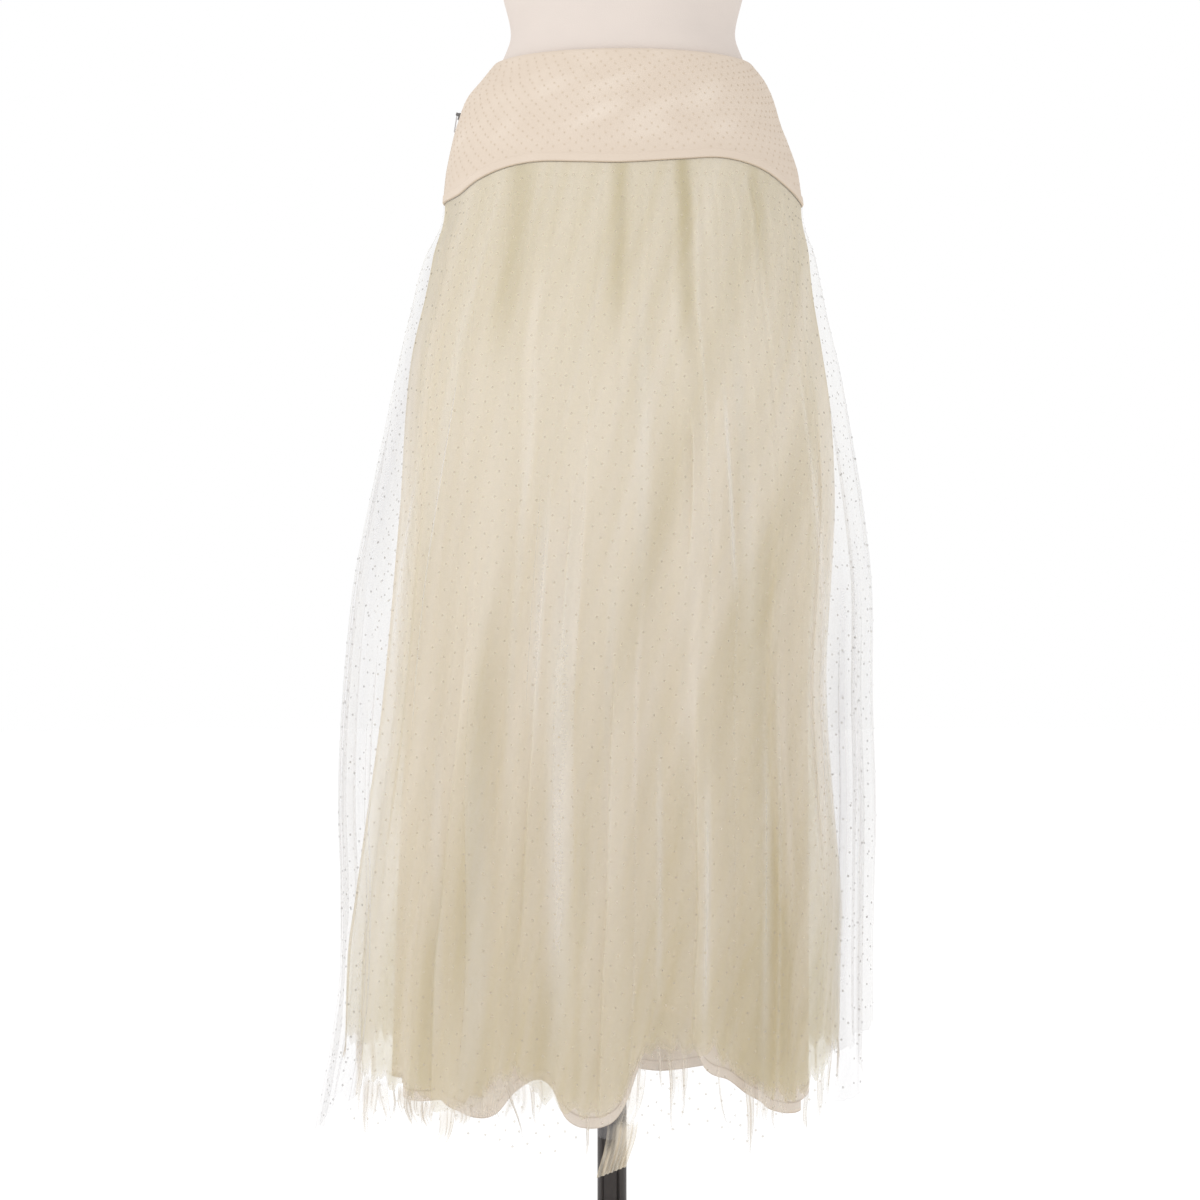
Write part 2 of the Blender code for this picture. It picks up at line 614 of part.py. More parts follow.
def rod_object(name, centre, radius, length, sides, parts):
    """A round metal rod along Y."""
    bm = bmesh.new()
    bmesh.ops.create_cone(
        bm, cap_ends=True, segments=sides, radius1=radius, radius2=radius, depth=length
    )
    for vert in bm.verts:
        x, y, z = vert.co
        vert.co = (centre[0] + x, centre[1] + z, centre[2] + y)
    return add_object(name, bm, "zip_metal", parts)


def add_slider(parts):
    """The zip's slider: a plate with two cheeks that hold a pin, built round its own seat.

    The seat is the middle of the plate's back face, and the plate stands out towards -X.
    """
    thick, wide, high = SLIDER_SIZE
    pin_x = -thick - PIN_STAND_OFF
    slider = box_object(
        "zip_slider", (-thick, -wide / 2, -high / 2), (0, wide / 2, high / 2), "zip_metal", parts
    )
    near = EYE_WIDTH / 2 + SEAM_GAP
    far = near + CHEEK_WALL
    joined = []
    for low_y, high_y in ((-far, -near), (near, far)):
        low_corner = (pin_x - CHEEK_NOSE, low_y, PIN_RISE - CHEEK_HALF_HEIGHT)
        high_corner = (-thick / 2, high_y, PIN_RISE + CHEEK_HALF_HEIGHT)
        joined.append(box_object("cheek", low_corner, high_corner, "zip_metal", parts))
    joined.append(rod_object("pin", (pin_x, 0, PIN_RISE), PIN_RADIUS, near + far, 12, parts))
    join(slider, joined, "UNION")
    return slider, (pin_x, 0, PIN_RISE)


def add_pull(parts):
    """The zip's pull, with its eye round the origin and its tab hanging below."""
    thick, wide, long = PULL_SIZE
    half_eye = EYE_WIDTH / 2
    pull = rod_object("zip_pull", (0, 0, 0), EYE_RADIUS + EYE_WALL, EYE_WIDTH, 16, parts)
    neck_low = (-thick / 2, -half_eye, -NECK_END)
    neck_high = (thick / 2, half_eye, -EYE_RADIUS)
    neck = box_object("neck", neck_low, neck_high, "zip_metal", parts)
    tab_low = (-thick / 2, -wide / 2, -long)
    tab_high = (thick / 2, wide / 2, -TAB_START)
    tab = box_object("tab", tab_low, tab_high, "zip_metal", parts)
    join(pull, [neck, tab], "UNION")
    hole = rod_object("hole", (0, 0, 0), EYE_RADIUS, 2 * EYE_WIDTH, 16, parts)
    join(pull, [hole], "DIFFERENCE")
    return pull


def add_slider_and_pull(parts):
    """The slider lies on the slope of the left side seam, and the pull hangs on its pin."""
    high = SLIDER_SIZE[2] / 2
    upper = section_point(YOKE_OUTLINE, SLIDER_HEIGHT + high, 180)[0][0]
    lower = section_point(YOKE_OUTLINE, SLIDER_HEIGHT - high, 180)[0][0]
    slope = math.atan2(upper - lower, 2 * high)
    seat = Vector(((upper + lower) / 2, 0, SLIDER_HEIGHT))
    seat += Vector((-math.cos(slope), 0, math.sin(slope))) * SEAM_GAP
    slider, pin = add_slider(parts)
    slider.location = seat
    slider.rotation_euler = (0, slope, 0)
    pull = add_pull(parts)
    hinge = bpy.data.objects.new("pull_hinge", None)
    hinge.location = seat + Matrix.Rotation(slope, 3, "Y") @ Vector(pin)
    hinge.rotation_euler = (0, math.radians(PULL_TILT), 0)
    parts.objects.link(hinge)
    pull.parent = hinge


def main():
    for old in list(bpy.data.objects):
        bpy.data.objects.remove(old)
    parts = bpy.data.collections.new(NAME)
    bpy.context.scene.collection.children.link(parts)

    yokes = {}
    for side, start in (("front", 180), ("back", 0)):
        yokes[side] = yoke_rings(start)
        add_wall(f"yoke_{side}", *yokes[side], "yoke_cloth", parts)
        add_wall(f"outer_tulle_{side}", *cloth_rings(OUTER, start), "dotted_tulle", parts)
        add_wall(f"inner_tulle_{side}", *cloth_rings(INNER, start), "plain_tulle", parts)
        add_wall(f"lining_{side}", *cloth_rings(LINING, start), "lining_cloth", parts)
    add_zip_tape(parts, yokes["front"][1], yokes["back"][1])
    add_slider_and_pull(parts)
    add_form(parts)
    add_stand(parts)


main()
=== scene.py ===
"""The looks of a tulle skirt on its dress form: fine cloth, zip, form and stand round the frame.

Metres, +Z up, the front towards -Y. Angles are in degrees round the form, seen from above:
0 is the right side (+X), 90 the back, 180 the left side with the zip, and 270 the front.
"""

import math
from collections import namedtuple

import bmesh
import bpy
import numpy as np
from mathutils import Matrix, Vector


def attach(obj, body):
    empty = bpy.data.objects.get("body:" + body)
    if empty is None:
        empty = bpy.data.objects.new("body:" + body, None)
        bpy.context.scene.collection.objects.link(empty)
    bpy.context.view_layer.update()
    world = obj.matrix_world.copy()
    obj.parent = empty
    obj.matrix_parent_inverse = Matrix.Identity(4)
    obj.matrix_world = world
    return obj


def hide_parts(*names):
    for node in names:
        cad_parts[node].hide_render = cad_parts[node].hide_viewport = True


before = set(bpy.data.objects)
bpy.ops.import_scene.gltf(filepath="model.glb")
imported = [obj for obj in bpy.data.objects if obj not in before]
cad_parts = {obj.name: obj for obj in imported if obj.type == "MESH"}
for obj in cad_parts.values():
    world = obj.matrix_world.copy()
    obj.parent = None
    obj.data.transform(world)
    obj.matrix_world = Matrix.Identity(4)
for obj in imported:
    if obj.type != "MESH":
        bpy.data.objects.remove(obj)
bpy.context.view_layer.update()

BODY = "skirt_and_form"
PULL_BODY = "zip_pull"

# The skirt's cut, with the sizes of its solids
SEAM_GAP = 0.0003
YOKE_TOP = 1.161
SEAM_HEIGHT = 1.0530
CLOTH_WALL = 0.0013
LAYER_STEP = CLOTH_WALL + SEAM_GAP
FLARE_DROP = 0.050  # below the seam, where a cloth has left the yoke's line
GATHERS = 72  # round the whole seam
GATHER_DROP = 0.045  # below the seam, where they are deepest
GATHER_DEPTH = 0.0034
GATHER_SOFT = 0.35  # of that depth, where the gathers are deepest
GATHER_LEFT = 0.12  # of that depth, where they have opened out
GATHER_OPEN = 0.40  # below the seam, where they have opened out
GATHER_UNEVEN = 0.28
GATHER_CHANGE = 4.8  # how fast they change from one to the next
GATHER_STRAYS = [(1.7, 0.16), (4.3, 0.10)]  # waves by which they stray, in gathers: rate, size
LAP_EDGE, BAND_EDGE = 1 / 4, 1 / 3  # the share of its way over which a lap or a band grows
FOLD_ROOM = 0.8  # the share of the room inside a cloth that its large folds may take
FOLD_FULL = 0.75  # the share of a cloth's length where its large folds are full
LEAST_ROOM = 0.0004
LOOSE_FROM, LOOSE_FULL = 0.01, 0.10  # how far below the seam small folds start and are full
STRAYS = [(3, 0.70), (11, 0.35)]  # waves round the form by which the grain strays, and degrees

Outline = namedtuple("Outline", "height left right front back")
Fold = namedtuple("Fold", "angle width depth start")
Band = namedtuple("Band", "angle width start end tone")
Crease = namedtuple("Crease", "angle height length tilt width rise")
Shred = namedtuple("Shred", "angle length width lean cover")
Lap = namedtuple("Lap", "angle width depth lap start end")
Edge = namedtuple("Edge", "angle height")
Section = namedtuple("Section", "height half_width front back")
Cloth = namedtuple("Cloth", "layer gathered outline folds laps waves hem rag inside")


def table(kind, rows):
    """Plain rows of numbers as rows of a kind."""
    return [kind(*row) for row in rows]


YOKE_OUTLINE = table(Outline, [
    (1.175, 0.1015, 0.1235, 0.0975, 0.0890),
    (1.161, 0.1138, 0.1348, 0.0990, 0.0920),
    (1.146, 0.1258, 0.1465, 0.1005, 0.0953),
    (1.130, 0.1390, 0.1543, 0.1025, 0.0992),
    (1.104, 0.1488, 0.1622, 0.1070, 0.1085),
    (1.088, 0.1530, 0.1685, 0.1097, 0.1130),
    (1.062, 0.1584, 0.1776, 0.1145, 0.1195),
    (1.045, 0.1605, 0.1805, 0.1172, 0.1232),
    (1.023, 0.1622, 0.1834, 0.1200, 0.1270),
    (1.005, 0.1630, 0.1845, 0.1215, 0.1285),
])
# The yoke's lower seam: it dips at the sides and rises a little either side of the front
SEAM = table(Edge, [
    (0, 1.0270), (12, 1.0285), (25, 1.0395), (37, 1.0495), (50, 1.0550),
    (70, 1.0550), (90, 1.0540), (110, 1.0545), (130, 1.0540), (143, 1.0495),
    (155, 1.0400), (168, 1.0305), (180, 1.0290), (204, 1.0310), (217, 1.0430),
    (230, 1.0520), (242, 1.0555), (256, 1.0540), (270, 1.0530), (289, 1.0570),
    (302, 1.0600), (312, 1.0575), (323, 1.0505), (334, 1.0395), (348, 1.0290),
])

OUTER_OUTLINE = table(Outline, [
    (1.053, 0.1630, 0.1830, 0.1180, 0.1240),
    (1.028, 0.1655, 0.1860, 0.1235, 0.1300),
    (1.005, 0.1700, 0.1895, 0.1310, 0.1380),
    (0.964, 0.1853, 0.1990, 0.1450, 0.1520),
    (0.913, 0.1985, 0.2100, 0.1600, 0.1665),
    (0.867, 0.2093, 0.2210, 0.1705, 0.1770),
    (0.804, 0.2227, 0.2320, 0.1830, 0.1890),
    (0.740, 0.2362, 0.2420, 0.1945, 0.2000),
    (0.661, 0.2506, 0.2506, 0.2060, 0.2110),
    (0.554, 0.2615, 0.2515, 0.2170, 0.2215),
    (0.460, 0.2659, 0.2544, 0.2240, 0.2280),
    (0.375, 0.2640, 0.2535, 0.2275, 0.2315),
    (0.288, 0.2660, 0.2525, 0.2300, 0.2340),
    (0.229, 0.2736, 0.2530, 0.2320, 0.2360),
    (0.130, 0.2918, 0.2560, 0.2360, 0.2400),
])
INNER_OUTLINE = table(Outline, [
    (1.053, 0.1605, 0.1805, 0.1155, 0.1215),
    (1.028, 0.1632, 0.1838, 0.1208, 0.1272),
    (1.005, 0.1670, 0.1870, 0.1260, 0.1325),
    (0.942, 0.1815, 0.1945, 0.1385, 0.1450),
    (0.886, 0.1945, 0.2040, 0.1475, 0.1540),
    (0.830, 0.2005, 0.2120, 0.1560, 0.1620),
    (0.748, 0.2050, 0.2160, 0.1655, 0.1710),
    (0.685, 0.2100, 0.2135, 0.1720, 0.1770),
    (0.592, 0.2180, 0.2080, 0.1800, 0.1850),
    (0.534, 0.2240, 0.2090, 0.1840, 0.1890),
    (0.446, 0.2365, 0.2155, 0.1880, 0.1930),
    (0.362, 0.2480, 0.2225, 0.1910, 0.1960),
    (0.315, 0.2540, 0.2215, 0.1925, 0.1975),
    (0.170, 0.2580, 0.2190, 0.1945, 0.1995),
])
LINING_OUTLINE = table(Outline, [
    (1.053, 0.1575, 0.1780, 0.1115, 0.1180),
    (1.028, 0.1585, 0.1790, 0.1122, 0.1186),
    (1.003, 0.1600, 0.1800, 0.1145, 0.1205),
    (0.978, 0.1630, 0.1815, 0.1190, 0.1250),
    (0.950, 0.1670, 0.1835, 0.1240, 0.1300),
    (0.800, 0.1830, 0.1925, 0.1400, 0.1450),
    (0.660, 0.1915, 0.1915, 0.1520, 0.1570),
    (0.590, 0.1955, 0.1880, 0.1580, 0.1630),
    (0.450, 0.2030, 0.1890, 0.1680, 0.1730),
    (0.300, 0.2095, 0.1900, 0.1750, 0.1800),
    (0.160, 0.2140, 0.1900, 0.1790, 0.1840),
])

# Large folds of the solids: troughs that run down to the hem
OUTER_FOLDS = table(Fold, [
    (10, 8, 0.012, 0.10), (29, 7, 0.014, 0.20), (47, 8, 0.011, 0.05),
    (66, 7, 0.015, 0.12), (83, 6, 0.010, 0.25), (101, 8, 0.014, 0.04),
    (119, 6, 0.012, 0.18), (137, 8, 0.014, 0.08), (154, 6, 0.010, 0.22),
    (170, 7, 0.009, 0.12), (189, 6, 0.009, 0.15), (204, 7, 0.012, 0.10),
    (220, 7, 0.011, 0.25), (234, 6, 0.009, 0.15), (247, 7, 0.014, 0.05),
    (258, 5, 0.008, 0.35), (269, 6, 0.013, 0.08), (284, 7, 0.015, 0.03),
    (300, 6, 0.013, 0.10), (314, 6, 0.010, 0.25), (328, 8, 0.014, 0.12),
    (345, 7, 0.011, 0.20),
])
INNER_FOLDS = table(Fold, [
    (20, 9, 0.006, 0.10), (44, 8, 0.008, 0.15), (70, 8, 0.009, 0.08),
    (95, 9, 0.008, 0.12), (122, 8, 0.009, 0.20), (148, 8, 0.008, 0.10),
    (170, 7, 0.006, 0.15), (198, 8, 0.007, 0.12), (222, 7, 0.008, 0.20),
    (243, 7, 0.009, 0.05), (262, 6, 0.007, 0.20), (281, 7, 0.009, 0.05),
    (303, 7, 0.008, 0.10), (326, 8, 0.007, 0.15), (347, 7, 0.005, 0.20),
])
LINING_FOLDS = table(Fold, [
    (14, 13, 0.010, 0.30), (42, 12, 0.014, 0.25), (70, 12, 0.016, 0.30),
    (98, 12, 0.014, 0.35), (126, 12, 0.016, 0.25), (152, 11, 0.012, 0.30),
    (172, 9, 0.008, 0.40), (194, 10, 0.010, 0.35), (217, 10, 0.014, 0.30),
    (251, 12, 0.020, 0.25), (284, 12, 0.020, 0.25), (326, 11, 0.012, 0.30),
    (348, 9, 0.008, 0.40),
])

# Creases laid over themselves, which show as crisp lines: lap is how far the cloth turns back
OUTER_LAPS = table(Lap, [
    (16, 3.2, 0.0021, 0.32, 0.15, 0.80), (24, 2.4, 0.0015, 0.28, 0.40, 1.10),
    (38, 3.0, 0.0020, 0.33, 0.05, 0.60), (57, 2.6, 0.0021, 0.31, 0.30, 1.10),
    (74, 3.4, 0.0024, 0.36, 0.10, 0.75), (92, 2.6, 0.0018, 0.31, 0.35, 1.10),
    (109, 3.0, 0.0021, 0.33, 0.08, 0.65), (127, 2.6, 0.0018, 0.28, 0.25, 1.10),
    (145, 3.4, 0.0022, 0.34, 0.12, 0.85), (161, 2.4, 0.0017, 0.31, 0.30, 1.10),
    (176, 2.0, 0.0014, 0.28, 0.20, 0.80), (184, 2.2, 0.0015, 0.31, 0.25, 0.90),
    (196, 2.8, 0.0020, 0.33, 0.18, 0.78), (212, 2.4, 0.0018, 0.31, 0.40, 1.10),
    (227, 3.0, 0.0021, 0.32, 0.12, 0.70), (241, 2.4, 0.0018, 0.30, 0.35, 1.10),
    (253, 2.0, 0.0015, 0.33, 0.28, 0.62), (263, 2.6, 0.0021, 0.31, 0.10, 0.85),
    (276, 2.2, 0.0017, 0.32, 0.42, 1.10), (291, 2.8, 0.0021, 0.34, 0.08, 0.55),
    (297, 1.8, 0.0015, 0.33, 0.32, 0.92), (307, 2.6, 0.0020, 0.31, 0.45, 1.10),
    (321, 2.8, 0.0021, 0.33, 0.15, 0.80), (336, 2.6, 0.0018, 0.32, 0.30, 1.10),
    (352, 2.4, 0.0017, 0.31, 0.18, 0.90),
])
INNER_LAPS = table(Lap, [
    (31, 3.4, 0.0018, 0.32, 0.20, 1.10), (58, 3.8, 0.0020, 0.36, 0.10, 0.85),
    (83, 3.2, 0.0017, 0.32, 0.35, 1.10), (110, 3.6, 0.0019, 0.35, 0.15, 0.90),
    (135, 3.2, 0.0018, 0.32, 0.30, 1.10), (160, 3.0, 0.0016, 0.33, 0.18, 0.80),
    (188, 2.8, 0.0016, 0.32, 0.22, 1.10), (210, 3.2, 0.0018, 0.35, 0.15, 0.85),
    (232, 3.4, 0.0019, 0.36, 0.40, 1.10), (252, 2.8, 0.0017, 0.35, 0.30, 0.95),
    (258, 2.4, 0.0016, 0.37, 0.32, 0.58), (272, 2.8, 0.0017, 0.32, 0.45, 1.10),
    (289, 2.4, 0.0016, 0.39, 0.28, 0.48), (293, 2.8, 0.0018, 0.36, 0.55, 1.10),
    (314, 3.2, 0.0018, 0.24, 0.30, 1.10), (336, 3.0, 0.0017, 0.32, 0.18, 0.85),
])

# Soft bands where the inner cloths lie thicker, which are darker, or thinner, which are lighter;
# among them painted light at the sides and painted shade at the lower right
THICK_AND_SHADED_BANDS = table(Band, [
    (8, 6, 0.30, 1.10, 0.5), (21, 3, 0.10, 0.60, -0.4), (33, 5, 0.00, 0.30, 0.6),
    (44, 6, 0.45, 1.10, 0.6), (55, 2, 0.30, 0.70, -0.6), (68, 5, 0.00, 0.35, 0.7),
    (78, 6, 0.50, 1.10, 0.5), (90, 4, 0.20, 0.80, -0.4), (103, 5, 0.00, 0.25, 0.5),
    (112, 5, 0.40, 1.10, 0.7), (124, 2, 0.30, 0.90, -0.6), (133, 6, 0.00, 0.30, 0.6),
    (147, 5, 0.50, 1.10, 0.5), (162, 6, 0.10, 0.60, 0.4), (176, 5, 0.45, 1.10, -0.3),
    # painted light: these two lighten the sides
    (193, 15, 0.02, 0.90, -0.60), (344, 14, 0.02, 0.90, -0.55),
    (196, 6, 0.10, 0.50, -0.3), (214, 5, 0.30, 0.80, 0.3), (222, 4, 0.55, 1.10, -0.3),
    (231, 4, 0.70, 1.10, 0.6), (236, 8, -0.10, 0.24, 0.55), (238, 5, 0.42, 0.95, 0.7),
    (246, 3, 0.05, 0.45, -0.3), (251, 4, 0.60, 1.10, 0.3), (260, 4, 0.56, 0.92, -0.6),
    (261, 1.3, 0.28, 0.60, -0.6), (266, 2, 0.62, 1.10, 0.4), (269, 5, -0.10, 0.20, 0.55),
    (278, 1, 0.42, 0.74, -0.4), (281, 6, 0.46, 1.10, -0.3),
    (289, 4.5, -0.10, 0.26, 0.85), (289, 3, 0.62, 1.00, 0.2),
    (292, 2.5, 0.38, 0.76, -0.4), (294, 0.9, 0.66, 0.92, -0.2), (293, 2.5, 0.70, 1.10, 0.3),
    (296, 1.1, 0.26, 0.46, -0.9), (303, 4, 0.10, 0.60, 0.2),
    # painted shade: the strong bands from 312 to 332 degrees darken the lower right
    (312.5, 8, 0.30, 1.30, 0.85), (314, 7, 0.72, 1.40, 0.4), (316, 5, -0.08, 0.16, 0.4),
    (321, 3, 0.50, 0.80, -0.3), (317, 9, 0.74, 1.40, 0.9), (332, 10, 0.70, 1.30, 0.5),
    (332, 6, 0.20, 0.80, 0.3), (346, 5, 0.50, 1.10, -0.3),
])

# Where the inner net lies single and covers less
THIN_NET = table(Band, [
    (190, 24, 0.40, 1.25, -0.14), (172, 16, 0.40, 1.25, -0.12),
    (182, 26, 0.08, 0.62, -0.22), (357, 26, 0.12, 0.80, -0.18),
    (180, 13, 0.05, 1.25, -0.16), (0, 13, 0.05, 1.25, -0.18),
])

# Where the outer net lies bunched over itself and veils the cloths below
VEILS = table(Band, [
    (14, 5, 0.20, 0.90, 0.12), (38, 4, 0.10, 0.60, 0.10), (60, 5, 0.35, 1.05, 0.14),
    (86, 4, 0.15, 0.70, 0.10), (108, 5, 0.30, 1.05, 0.14), (131, 4, 0.10, 0.80, 0.10),
    (152, 5, 0.40, 1.05, 0.12), (172, 5, 0.20, 0.90, 0.10), (186, 5, 0.25, 0.95, 0.10),
    (201, 4, 0.10, 0.70, 0.12), (212, 3, 0.30, 0.85, 0.12), (217, 1.2, 0.28, 0.55, 0.20),
    (226, 4, 0.05, 0.50, 0.12), (233, 2, 0.50, 1.00, 0.10), (243, 3, 0.55, 1.00, 0.10),
    (249, 1.6, 0.18, 0.70, 0.10), (255, 1.2, 0.30, 0.62, 0.18), (260, 4, 0.30, 0.98, 0.20),
    (270, 2, 0.35, 0.80, 0.10), (276, 3, 0.10, 0.50, 0.10), (281, 1.2, 0.55, 0.90, 0.16),
    (291, 1.2, 0.60, 0.95, 0.22), (296, 0.9, 0.22, 0.48, 0.26), (300, 3, 0.10, 0.60, 0.10),
    (304, 1.2, 0.50, 0.98, 0.16), (321, 4, 0.20, 0.80, 0.14), (331, 2, 0.30, 1.00, 0.16),
    (338, 4, 0.25, 0.90, 0.14), (350, 5, 0.10, 0.80, 0.12),
])
# Where the outer net lies doubled at the sides: it covers more there, and looks greyer with painted
# shade
DOUBLED = table(Band, [
    (180, 36, 0.05, 1.30, 0.22), (0, 36, 0.05, 1.40, 0.20), (333, 10, 0.24, 1.60, 0.85),
    (27, 10, 0.24, 1.60, 0.85), (201, 15, -0.15, 0.50, 0.80), (159, 15, -0.15, 0.50, 0.80),
    (205, 10, 0.30, 1.10, 0.35), (155, 10, 0.30, 1.10, 0.35),
])
DOUBLED_COVER = 0.12
DOUBLED_SHADE = 0.80
# The sides, as the cosine of the grain angle where they start and where they are full
SIDE_START, SIDE_FULL = 0.78, 0.94

# Heights of the raw tulle edges and of the lining's narrow hem
OUTER_HEM = table(Edge, [
    (0, 0.238), (14, 0.214), (32, 0.188), (50, 0.166), (66, 0.180),
    (82, 0.158), (100, 0.172), (118, 0.150), (134, 0.168), (150, 0.146),
    (166, 0.156), (180, 0.136), (192, 0.150), (205, 0.172), (219, 0.160),
    (234, 0.176), (248, 0.158), (262, 0.150), (272, 0.172), (282, 0.158),
    (292, 0.176), (301, 0.152), (312, 0.184), (326, 0.176), (342, 0.206),
    (353, 0.236),
])
INNER_HEM = table(Edge, [
    (0, 0.222), (22, 0.206), (45, 0.214), (68, 0.194), (92, 0.208),
    (115, 0.192), (138, 0.206), (160, 0.212), (180, 0.216), (198, 0.228),
    (206, 0.206), (220, 0.196), (238, 0.184), (246, 0.198), (254, 0.216),
    (261, 0.190), (268, 0.184), (276, 0.196), (281, 0.234), (291, 0.238),
    (298, 0.228), (306, 0.212), (316, 0.190), (328, 0.188), (340, 0.214),
])
LINING_HEM = table(Edge, [
    (0, 0.182), (20, 0.174), (42, 0.190), (62, 0.176), (78, 0.172),
    (96, 0.178), (112, 0.170), (134, 0.188), (156, 0.174), (176, 0.190),
    (191, 0.200), (200, 0.187), (211, 0.184), (221, 0.188), (228, 0.184),
    (236, 0.179), (242, 0.184), (246, 0.202), (252, 0.214), (257, 0.208),
    (261, 0.184), (266, 0.175), (273, 0.179), (277, 0.196), (281, 0.230),
    (286, 0.272), (293, 0.266), (298, 0.226), (306, 0.212), (312, 0.198),
    (319, 0.187), (326, 0.177), (333, 0.171), (342, 0.171), (352, 0.176),
])

# Fine waves of a hanging cloth: degrees across, shares of its length down, metres deep, seed
OUTER_WAVES = [(9.0, 0.65, 0.0040, 11), (3.6, 0.50, 0.0008, 12), (1.8, 0.40, 0.0003, 13)]
INNER_WAVES = [(10.0, 0.60, 0.0030, 21), (4.5, 0.45, 0.0007, 22), (2.0, 0.35, 0.0003, 23)]
LINING_WAVES = [(12.0, 0.60, 0.0030, 31), (6.0, 0.45, 0.0005, 32)]
# Cuts up into a raw edge: degrees apart, metres deep, seed
OUTER_RAG = [(2.3, 0.010, 41), (0.9, 0.004, 42)]
INNER_RAG = [(1.5, 0.016, 51), (0.7, 0.007, 52)]

LINING = Cloth(
    layer=2, gathered=False, outline=LINING_OUTLINE, folds=LINING_FOLDS, laps=[],
    waves=LINING_WAVES, hem=LINING_HEM, rag=[], inside=None,
)
INNER = Cloth(
    layer=1, gathered=True, outline=INNER_OUTLINE, folds=INNER_FOLDS, laps=INNER_LAPS,
    waves=INNER_WAVES, hem=INNER_HEM, rag=INNER_RAG, inside=LINING,
)
OUTER = Cloth(
    layer=0, gathered=True, outline=OUTER_OUTLINE, folds=OUTER_FOLDS, laps=OUTER_LAPS,
    waves=OUTER_WAVES, hem=OUTER_HEM, rag=OUTER_RAG, inside=INNER,
)

FORM_SHIFT = 0.0105
FORM_SECTIONS = table(Section, [
    (1.620, 0.0500, 0.0490, 0.0530),
    (1.600, 0.0515, 0.0500, 0.0545),
    (1.565, 0.0570, 0.0510, 0.0600),
    (1.545, 0.0800, 0.0560, 0.0680),
    (1.528, 0.1150, 0.0640, 0.0760),
    (1.508, 0.1450, 0.0760, 0.0860),
    (1.480, 0.1560, 0.0900, 0.0940),
    (1.440, 0.1520, 0.1050, 0.0985),
    (1.400, 0.1450, 0.1215, 0.0980),
    (1.358, 0.1405, 0.1265, 0.0945),
    (1.315, 0.1350, 0.1175, 0.0900),
    (1.270, 0.1260, 0.1010, 0.0850),
    (1.226, 0.1147, 0.0900, 0.0800),
    (1.192, 0.1075, 0.0870, 0.0790),
    (1.171, 0.1135, 0.0920, 0.0840),
    (1.150, 0.1248, 0.0960, 0.0892),
    (1.120, 0.1402, 0.1006, 0.0987),
    (1.088, 0.1517, 0.1059, 0.1092),
    (1.050, 0.1585, 0.1096, 0.1145),
    (1.010, 0.1605, 0.1098, 0.1160),
    (0.970, 0.1585, 0.1082, 0.1135),
    (0.930, 0.1520, 0.1030, 0.1070),
    (0.905, 0.1400, 0.0930, 0.0960),
    (0.895, 0.1220, 0.0790, 0.0820),
])

FOLD_SHADE_DEPTH = 0.050  # painted shade: a fold this deep is fully dark
DOWN_SHADE = 0.55  # painted shade: how much darker a net is at its hem, most of it low down
DOWN_POWER = 3.0
TOP_TONE = 0.14  # how much darker it is at its gathers
TOP_SHARE = 0.30  # the share of its length over which that fades
BAND_TONE = 0.60

# How much of the light the nets stop, and how much more where they lie edge on
OUTER_COVER = 0.10
OUTER_EDGE_COVER = 0.10
INNER_TOP_COVER = 0.78
INNER_LOW_COVER = 0.50
INNER_THINS = (0.05, 0.80)  # the shares of its length where it starts and ends thinning
INNER_EDGE_COVER = 0.05
FRAY_COVER = 0.60  # what is left of the inner net's cover right at its raw edge
FRAY_SHARE = 0.012  # the share of its length over which it frays

# The lining's narrow hem, and the rows that its fold and its stitch line need
HEM_BAND = 0.0100
HEM_RISE = 0.0004
HEM_FOLD = 0.0014  # how high the shade of its lower fold reaches
HEM_STITCH = 0.0009  # half the width of its stitch line
HEM_FADE = 0.0008
HEM_ROWS = (0.0005, 0.0010, 0.0018, 0.0088, 0.0095, 0.0100, 0.0105, 0.0115)

# Soft diagonal creases of the yoke: degrees, metres, and the tilt up towards the right
YOKE_CREASES = table(Crease, [
    (246, 1.128, 0.075, 24, 0.013, 0.0007), (262, 1.100, 0.085, 26, 0.012, 0.0008),
    (266, 1.128, 0.090, 22, 0.010, 0.0005), (283, 1.104, 0.080, 28, 0.013, 0.0007),
    (279, 1.083, 0.060, 24, 0.010, 0.0005), (302, 1.120, 0.070, 26, 0.014, 0.0006),
    (309, 1.092, 0.060, 20, 0.012, 0.0005), (228, 1.090, 0.060, 34, 0.012, 0.0004),
    (326, 1.110, 0.050, 30, 0.012, 0.0004), (345, 1.085, 0.050, 24, 0.012, 0.0004),
    (25, 1.105, 0.060, -20, 0.013, 0.0005), (52, 1.120, 0.070, 22, 0.012, 0.0005),
    (78, 1.098, 0.080, 24, 0.013, 0.0007), (96, 1.125, 0.080, 20, 0.011, 0.0005),
    (117, 1.100, 0.070, 26, 0.012, 0.0006), (146, 1.104, 0.060, 22, 0.013, 0.0005),
    (199, 1.085, 0.040, 30, 0.010, 0.0004),
])

